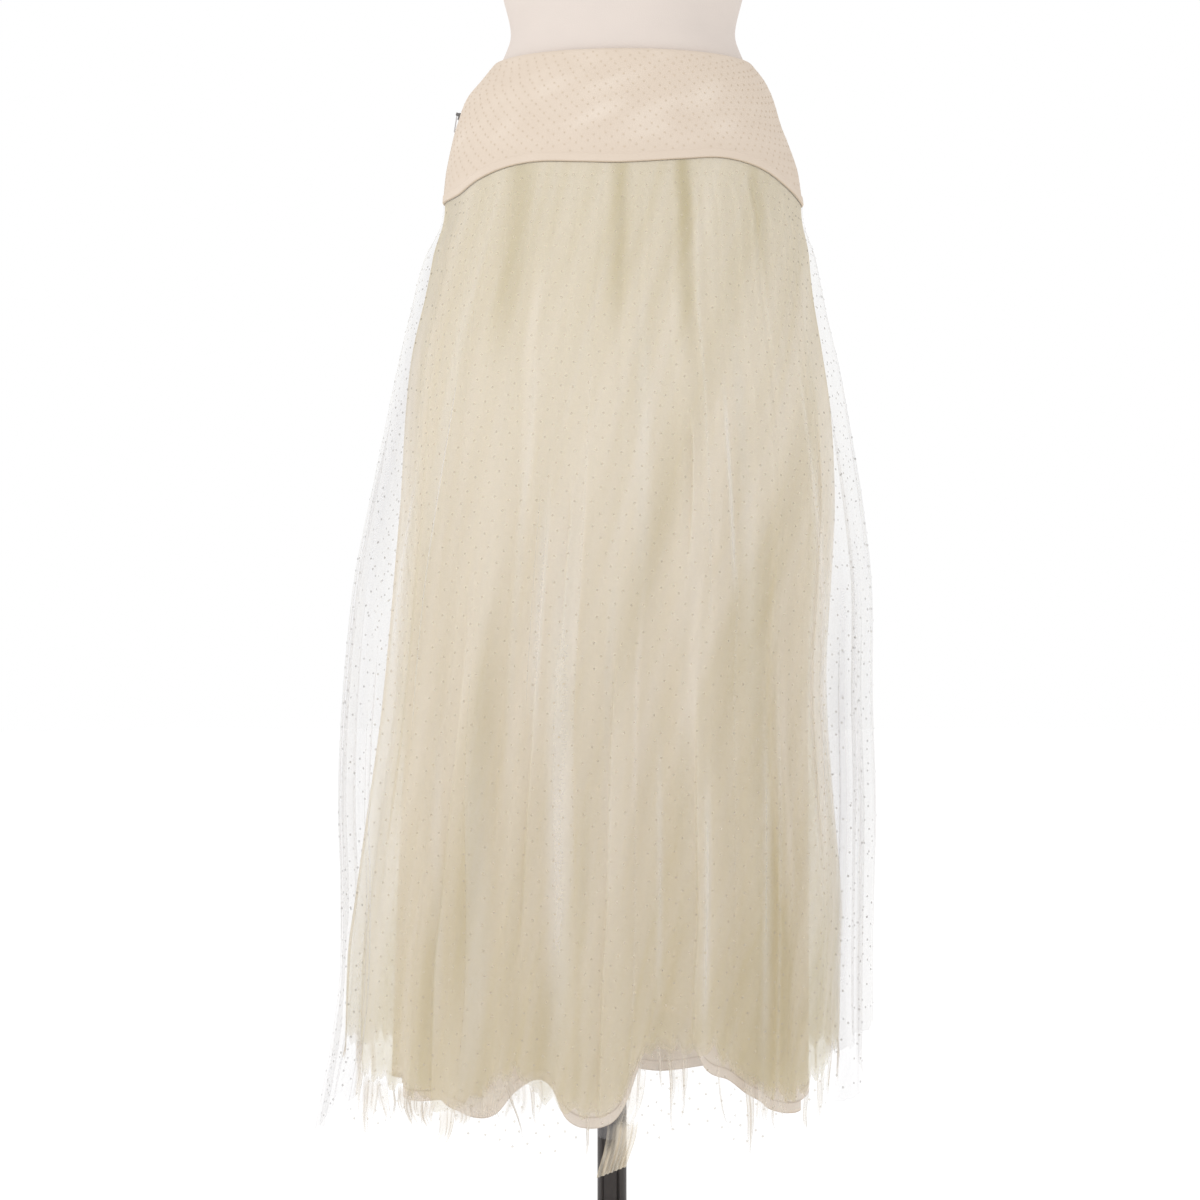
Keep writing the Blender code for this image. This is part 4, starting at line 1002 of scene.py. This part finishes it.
def add_yoke_dots(name, start):
    """Dots on the yoke, in rows that climb a little, with its cloth."""
    grains, shares = [], []
    depth = YOKE_TOP - SEAM_HEIGHT
    turn = math.degrees(YOKE_DOT_STEP / YOKE_RADIUS)
    columns = int(180 / turn)
    rows = int(depth / YOKE_DOT_ROW) + 1
    climb = YOKE_DOT_TILT * columns
    top, foot = YOKE_DOT_MARGINS
    for row in range(rows + int(climb / YOKE_DOT_ROW)):
        for column in range(columns):
            down = row * YOKE_DOT_ROW - YOKE_DOT_TILT * column
            if top < down < depth - foot:
                grains.append(start + (column + 0.3 + 0.5 * (row % 2)) * turn)
                shares.append(down / depth)
    grains, shares = np.array(grains), np.array(shares)
    return surface_discs(name, yoke_place, grains, shares, YOKE_DOT_RADIUS, np.zeros(len(grains)))


def add_torso():
    """The form's torso: a smooth cover through its sections, flat at the neck and the foot."""
    rows, columns = TORSO_GRID
    heights = np.linspace(FORM_SECTIONS[0].height, FORM_SECTIONS[-1].height, rows)[:, None]
    half, front, back = between(FORM_SECTIONS, heights)
    turn = np.linspace(0, 2 * np.pi, columns, endpoint=False)
    x = FORM_SHIFT + half * np.cos(turn)
    y = np.where(np.sin(turn) > 0, back, front) * np.sin(turn)
    points = np.stack([x, y, np.broadcast_to(heights, x.shape)], axis=-1)
    top, foot = range(columns - 1, -1, -1), range((rows - 1) * columns, rows * columns)
    faces = [*quads(rows, columns, closed=True).tolist(), list(top), list(foot)]
    mesh = new_mesh("torso_cover", points, faces)
    mesh.shade_smooth()
    mesh.set_sharp_from_angle(angle=SHARP)
    return link(mesh)


# The zip: fine teeth in the left side seam, a row of stitches either side, slider and pull
TOOTH = (0.0007, 0.0022, 0.0008)  # out, across and up
OPEN_TOOTH = (0.0006, 0.0012, 0.0008)
TOOTH_STEP = 0.0016
TOOTH_OUT = 0.0001
ZIP_TOP = 1.1095
OPEN_FOOT = 1.1190  # of the rows above the slider, where the zip is undone
OPEN_TOP = 1.1580
OPEN_ASIDE = 0.55  # degrees from the seam
ZIP_FOOT = 1.0310
STITCH = (0.0003, 0.0004, 0.0022)
STITCH_STEP = 0.0032
STITCH_ASIDE = 2.3  # degrees from the seam
STITCH_FOOT = 1.0350
STITCH_TOP = 1.1570
SLOPE_PROBE = 0.001  # how far up the hip's slope is felt
METAL_BEVEL = 0.00022


def add_blocks(name, heights, aside, out, size):
    """A row of small blocks beside the zip in one mesh, each leaning with the hip's slope."""
    angle = np.full_like(heights, 180 + aside)
    place = section_point(YOKE_OUTLINE, heights, angle)
    x_up = section_point(YOKE_OUTLINE, heights + SLOPE_PROBE, angle)[0]
    corners = np.array([(x, y, z) for x in (-1, 1) for y in (-1, 1) for z in (-1, 1)]) / 2
    sides = [(0, 1, 3, 2), (4, 6, 7, 5), (0, 4, 5, 1), (2, 3, 7, 6), (0, 2, 6, 4), (1, 5, 7, 3)]
    points, faces = [], []
    for centre, slope in zip(lift(place, heights, out), np.arctan2(x_up - place[0], SLOPE_PROBE)):
        lean = Matrix.Rotation(slope, 3, "Y")
        first = len(points)
        points += [Vector(centre) + lean @ Vector(corner * size) for corner in corners]
        faces += [[first + k for k in side] for side in sides]
    return link(new_mesh(name, points, faces))


def add_zip():
    """Teeth, stitches and the rounded metal parts of the zip."""
    closed = np.arange(ZIP_FOOT, ZIP_TOP, TOOTH_STEP)
    undone = np.arange(OPEN_FOOT, OPEN_TOP, TOOTH_STEP)
    stitched = np.arange(STITCH_FOOT, STITCH_TOP, STITCH_STEP)
    rows = [("zip_teeth", closed, 0, TOOTH_OUT, TOOTH)]
    for side, way in (("front", 1), ("back", -1)):
        rows += [
            (f"zip_open_teeth_{side}", undone, way * OPEN_ASIDE, TOOTH_OUT, OPEN_TOOTH),
            (f"zip_stitches_{side}", stitched, way * STITCH_ASIDE, 0, STITCH),
        ]
    for row in rows:
        dress(add_blocks(*row), "zip_tape", BODY)
    paint(bpy.data.objects["zip_tape"], "zip_tape")
    for name, node, body, finish in (
        ("slider_metal", "zip_slider", BODY, "zip_metal"),
        ("pull_metal", "zip_pull", PULL_BODY, "pull_metal"),
    ):
        mesh = bpy.data.objects[node].data.copy()
        mesh.name = name
        dress(round_edges(link(mesh), METAL_BEVEL), "zip_metal", body, node, finish=finish)


# The stand: pole, collar and base, each turned from a profile
POLE_RADIUS = 0.014
BASE_RADIUS = 0.165
BASE_HEIGHT = 0.016
BASE_SLOPE = 0.003
BASE_ROUNDING = (0.006, 0.005)  # inwards and down
ROUNDING_POINTS = 7
BOSS_RADIUS = 0.026
BOSS_HEIGHT = 0.014
BOSS_BEVEL = 0.003
COLLAR_RADIUS = 0.034
COLLAR_HEIGHT = 0.026
COLLAR_FLANGE = 0.006
COLLAR_TUBE_WALL = 0.007
EDGE_ROUND = 0.0008
TURN_STEPS = 96
POLE_GROOVES = (49, 113, 229, 293)  # degrees round the pole
GROOVE_WIDTH = 7.5  # degrees
GROOVE_DEPTH = 0.0014


def add_turned(name, profile, grooves=()):
    """A profile of radius and height turned round the stand's axis, its corners rounded."""
    turn = np.linspace(0, 2 * np.pi, TURN_STEPS, endpoint=False)
    profile = np.array(profile)
    radius = np.repeat(profile[:, :1], TURN_STEPS, axis=1)
    for angle in grooves:
        away = np.abs(off_centre(np.degrees(turn), angle))
        sunk = (away < GROOVE_WIDTH / 2) & (radius > 0)
        radius = np.where(sunk, radius - GROOVE_DEPTH, radius)
    points = np.stack([
        radius * np.cos(turn), radius * np.sin(turn),
        np.repeat(profile[:, 1:], TURN_STEPS, axis=1),
    ], axis=-1)
    faces = quads(len(profile), TURN_STEPS, closed=True)
    mesh = new_mesh(name, points, faces.tolist())
    bm = bmesh.new()
    bm.from_mesh(mesh)
    bmesh.ops.remove_doubles(bm, verts=bm.verts, dist=1e-6)
    bmesh.ops.recalc_face_normals(bm, faces=bm.faces)
    bm.to_mesh(mesh)
    bm.free()
    mesh.shade_smooth()
    mesh.set_sharp_from_angle(angle=SHARP)
    return round_edges(link(mesh), EDGE_ROUND)


def add_stand():
    """The base with its boss, the pole and the collar under the form."""
    boss_top = BASE_HEIGHT + BOSS_HEIGHT
    inwards, down = BASE_ROUNDING
    rim = BASE_HEIGHT - BASE_SLOPE
    rounded = [
        (BASE_RADIUS - inwards * (1 - math.sin(turn)), rim - down * (1 - math.cos(turn)))
        for turn in np.linspace(0, math.pi / 2, ROUNDING_POINTS)
    ]
    base = [
        (0, boss_top), (BOSS_RADIUS - BOSS_BEVEL, boss_top), (BOSS_RADIUS, boss_top - BOSS_BEVEL),
        (BOSS_RADIUS, BASE_HEIGHT), *rounded, (BASE_RADIUS, 0), (0, 0),
    ]
    top, foot = FORM_SECTIONS[-1].height - SEAM_GAP, boss_top + SEAM_GAP
    pole = [(0, top), (POLE_RADIUS, top), (POLE_RADIUS, foot), (0, foot)]
    bore = POLE_RADIUS + SEAM_GAP
    tube = bore + COLLAR_TUBE_WALL
    collar = [
        (bore, top), (COLLAR_RADIUS, top), (COLLAR_RADIUS, top - COLLAR_FLANGE),
        (tube, top - COLLAR_FLANGE), (tube, top - COLLAR_HEIGHT), (bore, top - COLLAR_HEIGHT),
        (bore, top),
    ]
    for name, profile, grooves in (
        ("base", base, ()), ("pole", pole, POLE_GROOVES), ("collar", collar, ()),
    ):
        turned = add_turned(f"{name}_metal", profile, grooves)
        dress(turned, "stand_metal", BODY, f"stand_{name}")


def linear(colour):
    """Shader values of a colour given as it shows on a screen, 0 to 255."""
    parts = (value / 255 for value in colour)
    return (*(p / 12.92 if p < 0.04045 else ((p + 0.055) / 1.055) ** 2.4 for p in parts), 1)


def feed(tree, node, inputs):
    """Sets a node's inputs, or joins them where a value is another node's output."""
    for socket, value in inputs.items():
        if isinstance(value, bpy.types.NodeSocket):
            tree.links.new(value, node.inputs[socket])
        else:
            node.inputs[socket].default_value = value


def add_node(tree, kind, inputs, **settings):
    """A shader node with its settings made and its inputs fed."""
    node = tree.nodes.new(f"ShaderNode{kind}")
    for setting, value in settings.items():
        setattr(node, setting, value)
    feed(tree, node, inputs)
    return node


class Finish:
    """A node material in the making, round one Principled shader."""

    def __init__(self, name, roughness, metallic=0.0):
        self.material = bpy.data.materials.new(name)
        self.material.use_nodes = True
        self.tree = self.material.node_tree
        self.shader = self.tree.nodes["Principled BSDF"]
        self.set("Roughness", roughness)
        self.set("Metallic", metallic)

    def set(self, socket, value):
        feed(self.tree, self.shader, {socket: value})

    def node(self, kind, output, inputs, **settings):
        return add_node(self.tree, kind, inputs, **settings).outputs[output]

    def attribute(self, name, output="Fac"):
        """What a mesh keeps at each point."""
        return self.node("Attribute", output, {}, attribute_name=name)

    def position(self):
        return self.node("TexCoord", "Object", {})

    def noise(self, vector, across, down):
        """Noise on a cloth, with cells of a size across and a size down, in metres."""
        scale = (1 / across, 1 / down, 1 / across)
        mapped = self.node("Mapping", "Vector", {"Vector": vector, "Scale": scale})
        return self.node("TexNoise", "Fac", {"Vector": mapped, "Scale": 1.0})

    def range(self, value, low, high):
        """A 0 to 1 value carried to a range."""
        return self.node("MapRange", "Result", {"Value": value, "To Min": low, "To Max": high})

    def add(self, first, second, clamp=False):
        inputs = {0: first, 1: second}
        return self.node("Math", "Value", inputs, operation="ADD", use_clamp=clamp)

    def mix(self, factor, first, second):
        """One colour or another: each a plain colour or a node's output."""
        first, second = (linear(c) if isinstance(c, tuple) else c for c in (first, second))
        inputs = {"Factor": factor, 6: first, 7: second}
        return self.node("Mix", 2, inputs, data_type="RGBA")

    def colour(self, value):
        self.set("Base Color", value)

    def let_through(self, colour, share):
        """Lets a share of the light behind the cloth shine through it."""
        through = self.node("BsdfTranslucent", "BSDF", {"Color": colour})
        inputs = {"Fac": share, 1: self.shader.outputs["BSDF"], 2: through}
        mixed = self.node("MixShader", "Shader", inputs)
        feed(self.tree, self.tree.nodes["Material Output"], {"Surface": mixed})

    def bump(self, height, distance, strength):
        inputs = {"Height": height, "Distance": distance, "Strength": strength}
        self.set("Normal", self.node("Bump", "Normal", inputs))


# How much the weave varies a net's cover, and the share of light that shines through the lining
WEAVE_COVER = 0.05
LINING_THROUGH = 0.25
WEAVE_CELL = (0.0016, 0.0016)
# Sizes of streaks and patches, across and down, and how far they carry the tone
NET_STREAKS, NET_STREAK_TONE = (0.009, 0.30), (-0.20, 0.20)
NET_PATCHES, NET_PATCH_TONE = (0.050, 0.90), (-0.35, 0.55)
LINING_STREAKS, LINING_STREAK_TONE = (0.012, 0.35), (-0.25, 0.45)
YOKE_PATCHES, YOKE_PATCH_TONE = (0.05, 0.03), (0.6, -0.2)


def tulle_finish(name, crest, trough, streak):
    """Net, with how much of the light it stops in each place, its colour running from crest to
    trough with its fold marks: mostly painted shade, and on the inner net also its thickness.
    """
    finish = Finish(name, 0.9)
    cloth = finish.attribute("cloth", "Vector")
    fold = finish.attribute("fold")
    streaks = finish.noise(cloth, *NET_STREAKS)
    broad = finish.noise(cloth, *NET_PATCHES)
    tone = finish.add(fold, finish.range(streaks, *NET_STREAK_TONE))
    tone = finish.add(tone, finish.range(broad, *NET_PATCH_TONE), clamp=True)
    finish.colour(finish.mix(tone, crest, trough))
    cover = finish.add(finish.attribute("cover"), finish.range(streaks, -streak, streak))
    weave = finish.noise(cloth, *WEAVE_CELL)
    cover = finish.add(cover, finish.range(weave, -WEAVE_COVER, WEAVE_COVER), clamp=True)
    finish.set("Alpha", cover)
    finish.bump(finish.noise(cloth, 0.0012, 0.0012), 0.0003, 0.3)
    return finish.material


def satin_finish(name, crest, trough, band, line):
    """Lining cloth, darker with the painted shade of its folds, its narrow hem a little paler, with
    painted shade along the hem's lower fold and a darker stitch line.
    """
    finish = Finish(name, 0.5)
    cloth = finish.attribute("cloth", "Vector")
    fold = finish.attribute("fold")
    streaks = finish.noise(cloth, *LINING_STREAKS)
    tone = finish.add(fold, finish.range(streaks, *LINING_STREAK_TONE), clamp=True)
    face = finish.mix(tone, crest, trough)
    hemmed = finish.mix(finish.range(finish.attribute("band"), 0, 0.6), face, band)
    lined = finish.mix(finish.range(finish.attribute("line"), 0, 0.7), hemmed, line)
    finish.colour(lined)
    finish.let_through(lined, LINING_THROUGH)
    finish.bump(finish.noise(cloth, 0.0006, 0.0006), 0.0002, 0.25)
    return finish.material


def yoke_finish(name, face, low, seam):
    """Yoke cloth, with a painted highlight along its creases, and darker right at its seam: its
    seam line with painted shade in the tuck.
    """
    finish = Finish(name, 0.85)
    cloth = finish.attribute("cloth", "Vector")
    near_seam = finish.attribute("fold")
    patches = finish.range(finish.noise(cloth, *YOKE_PATCHES), *YOKE_PATCH_TONE)
    raised = finish.range(finish.attribute("raised"), 0.75, 0.0)
    base = finish.mix(finish.add(patches, raised, clamp=True), face, low)
    finish.colour(finish.mix(near_seam, base, seam))
    finish.bump(finish.noise(cloth, 0.0011, 0.0011), 0.0003, 0.5)
    return finish.material


def dot_finish(name, pale, dark):
    """Dots of a net with painted shade, palest in its gathers and darkest where light falls through
    it.
    """
    finish = Finish(name, 0.9)
    finish.set("Alpha", DOT_COVER)
    uneven = finish.range(finish.noise(finish.position(), 0.02, 0.02), -0.1, 0.1)
    tone = finish.add(finish.attribute("fold"), uneven, clamp=True)
    finish.colour(finish.mix(tone, pale, dark))
    return finish.material


def plain_finish(name, light, dark, roughness, metallic=0.0, patches=(0.02, 0.02), grain=()):
    """Faint patches, and a fine grain where its sizes, depth and strength are given."""
    finish = Finish(name, roughness, metallic)
    place = finish.position()
    finish.colour(finish.mix(finish.noise(place, *patches), light, dark))
    if grain:
        across, down, depth, strength = grain
        finish.bump(finish.noise(place, across, down), depth, strength)
    return finish.material


# Patches and grain of the form's knitted cover and of metal
KNIT = ((0.05, 0.08), (0.0009, 0.0016, 0.0003, 0.4))
METAL = ((0.01, 0.01), (0.0015, 0.0015, 0.0001, 0.3))


# Each finish with its colours: for cloths and dots, from the one in the light to the one in the
# painted shade; for plain finishes, the two tones of their faint patches
FINISHES = {name: finish(name, *values) for name, finish, *values in (
    ("yoke_cloth", yoke_finish, (238, 225, 211), (225, 209, 192), (178, 160, 134)),
    ("dotted_tulle", tulle_finish, (244, 244, 245), (210, 208, 211), 0.05),
    ("plain_tulle", tulle_finish, (246, 235, 214), (196, 180, 126), 0.08),
    ("lining_cloth", satin_finish, (244, 233, 218), (228, 214, 192), (242, 229, 216),
     (190, 170, 148)),
    ("raw_net", tulle_finish, (244, 234, 218), (190, 176, 156), 0.10),
    ("bunched_net", tulle_finish, (246, 236, 218), (204, 188, 162), 0.50),
    ("tulle_dots", dot_finish, (214, 202, 182), (118, 111, 101)),
    ("yoke_dots", plain_finish, (222, 206, 185), (214, 198, 177), 0.9),
    ("form_cover", plain_finish, (233, 221, 212), (223, 212, 204), 0.75, 0.0, *KNIT),
    ("stand_metal", plain_finish, (78, 73, 71), (62, 58, 57), 0.4, 0.6, *METAL),
    ("zip_metal", plain_finish, (150, 147, 146), (110, 106, 105), 0.35, 1.0, *METAL),
    ("pull_metal", plain_finish, (214, 209, 208), (196, 190, 189), 0.35, 1.0, *METAL),
    ("zip_tape", plain_finish, (226, 214, 200), (214, 202, 186), 0.85),
)}


def paint(piece, finish):
    piece.data.materials.clear()
    piece.data.materials.append(FINISHES[finish])


def dress(piece, slot, body, *nodes, finish=None):
    """Gives a piece its finish, named by its slot unless one is given, the body it rides on, and
    hides the nodes it stands for.
    """
    paint(piece, finish or slot)
    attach(piece, body)
    if nodes:
        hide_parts(*nodes)
    return piece


def add_panel(kind, side, start, cloth, grid, slot):
    """One panel of a hanging cloth, dressed, in the place of its solid."""
    panel = add_hanging(f"{kind}_{side}_cloth", cloth, start, grid)
    return dress(panel, slot, BODY, f"{kind}_{side}")


def add_skirt():
    """Yoke, two tulles and lining, each a front and a back panel."""
    for side, start, strips in (("front", 180, SHREDS), ("back", 0, back_shreds())):
        yoke = dress(add_yoke(f"yoke_{side}_cloth", start), "yoke_cloth", BODY, f"yoke_{side}")
        specks = dress(
            add_yoke_dots(f"yoke_{side}_dots", start), "yoke_cloth", BODY, finish="yoke_dots"
        )
        outer = add_panel("outer_tulle", side, start, OUTER, OUTER_GRID, "dotted_tulle")
        dots = dress(
            add_tulle_dots(f"outer_tulle_{side}_dots", start),
            "dotted_tulle", BODY, finish="tulle_dots",
        )
        inner = add_panel("inner_tulle", side, start, INNER, INNER_GRID, "plain_tulle")
        shreds = dress(
            add_shreds(f"inner_tulle_{side}_shreds", strips, INNER, TORN),
            "plain_tulle", BODY, finish="raw_net",
        )
        lining = add_panel("lining", side, start, LINING, LINING_GRID, "lining_cloth")
        [dots, add_bunch()] if side == "front" else [dots]


def add_bunch():
    """The bunch of outer net in front of the pole."""
    bunch = add_shreds("outer_tulle_bunch", [BUNCH], OUTER, BUNCHED)
    return dress(bunch, "dotted_tulle", BODY, finish="bunched_net")


def add_stage():
    """A wide pale floor under the stand."""
    mesh = bpy.data.meshes.new("studio_floor")
    bm = bmesh.new()
    bmesh.ops.create_circle(bm, cap_ends=True, segments=64, radius=FLOOR_RADIUS)
    for vert in bm.verts:
        vert.co.z = -FLOOR_DROP
    bm.to_mesh(mesh)
    bm.free()
    floor = link(mesh)
    finish = Finish("studio_floor", 0.9)
    finish.set("Emission Color", linear(FLOOR_LIGHT))
    finish.set("Emission Strength", FLOOR_GLOW)
    place = finish.position()
    finish.colour(finish.mix(finish.noise(place, 1.5, 1.5), FLOOR_LIGHT, FLOOR_SHADE))
    mesh.materials.append(finish.material)


# The view and its light
EYE = Vector((-0.0115, -2.8, 0.65))
LENS = 87.5
SENSOR = 36.0
NETS_SEEN_THROUGH = 32
FLOOR_RADIUS = 12.0
FLOOR_DROP = 0.0005  # below the base, so that the two never flicker
FLOOR_LIGHT = (226, 226, 226)
FLOOR_SHADE = (222, 222, 222)
FLOOR_GLOW = 0.55
SKY_LIGHT = 0.80
WHITE = (1, 1, 1, 1)


def add_camera():
    data = bpy.data.cameras.new("camera")
    data.lens = LENS
    data.sensor_width = SENSOR
    camera = link(data)
    camera.location = EYE
    camera.rotation_euler = (math.pi / 2, 0, 0)
    bpy.context.scene.camera = camera


def add_light(name, place, aim, size, power):
    data = bpy.data.lights.new(name, "AREA")
    data.size = size
    data.energy = power
    light = link(data)
    light.location = place
    light.rotation_euler = (Vector(aim) - Vector(place)).to_track_quat("-Z", "Y").to_euler()


def add_world():
    """White all round, a little dimmer as light than as background."""
    world = bpy.data.worlds.new("studio")
    world.use_nodes = True
    tree = world.node_tree
    light = tree.nodes["Background"]
    feed(tree, light, {"Color": WHITE, "Strength": SKY_LIGHT})
    seen = add_node(tree, "Background", {"Color": WHITE, "Strength": 1.0})
    path = add_node(tree, "LightPath", {})
    mix = add_node(tree, "MixShader", {
        "Fac": path.outputs["Is Camera Ray"],
        1: light.outputs["Background"],
        2: seen.outputs["Background"],
    })
    feed(tree, tree.nodes["World Output"], {"Surface": mix.outputs["Shader"]})
    bpy.context.scene.world = world


def set_view():
    scene = bpy.context.scene
    scene.view_settings.view_transform = "Standard"
    scene.cycles.transparent_max_bounces = NETS_SEEN_THROUGH
    add_world()
    add_camera()
    add_light("key", place=(-2.2, -2.6, 3.2), aim=(0, 0, 0.7), size=2.5, power=30)
    add_light("top", place=(0, 0.5, 4.0), aim=(0, 0, 0), size=3.0, power=16)


set_view()
add_stage()
add_skirt()
dress(add_torso(), "form_cover", BODY, "form_torso")
add_zip()
add_stand()
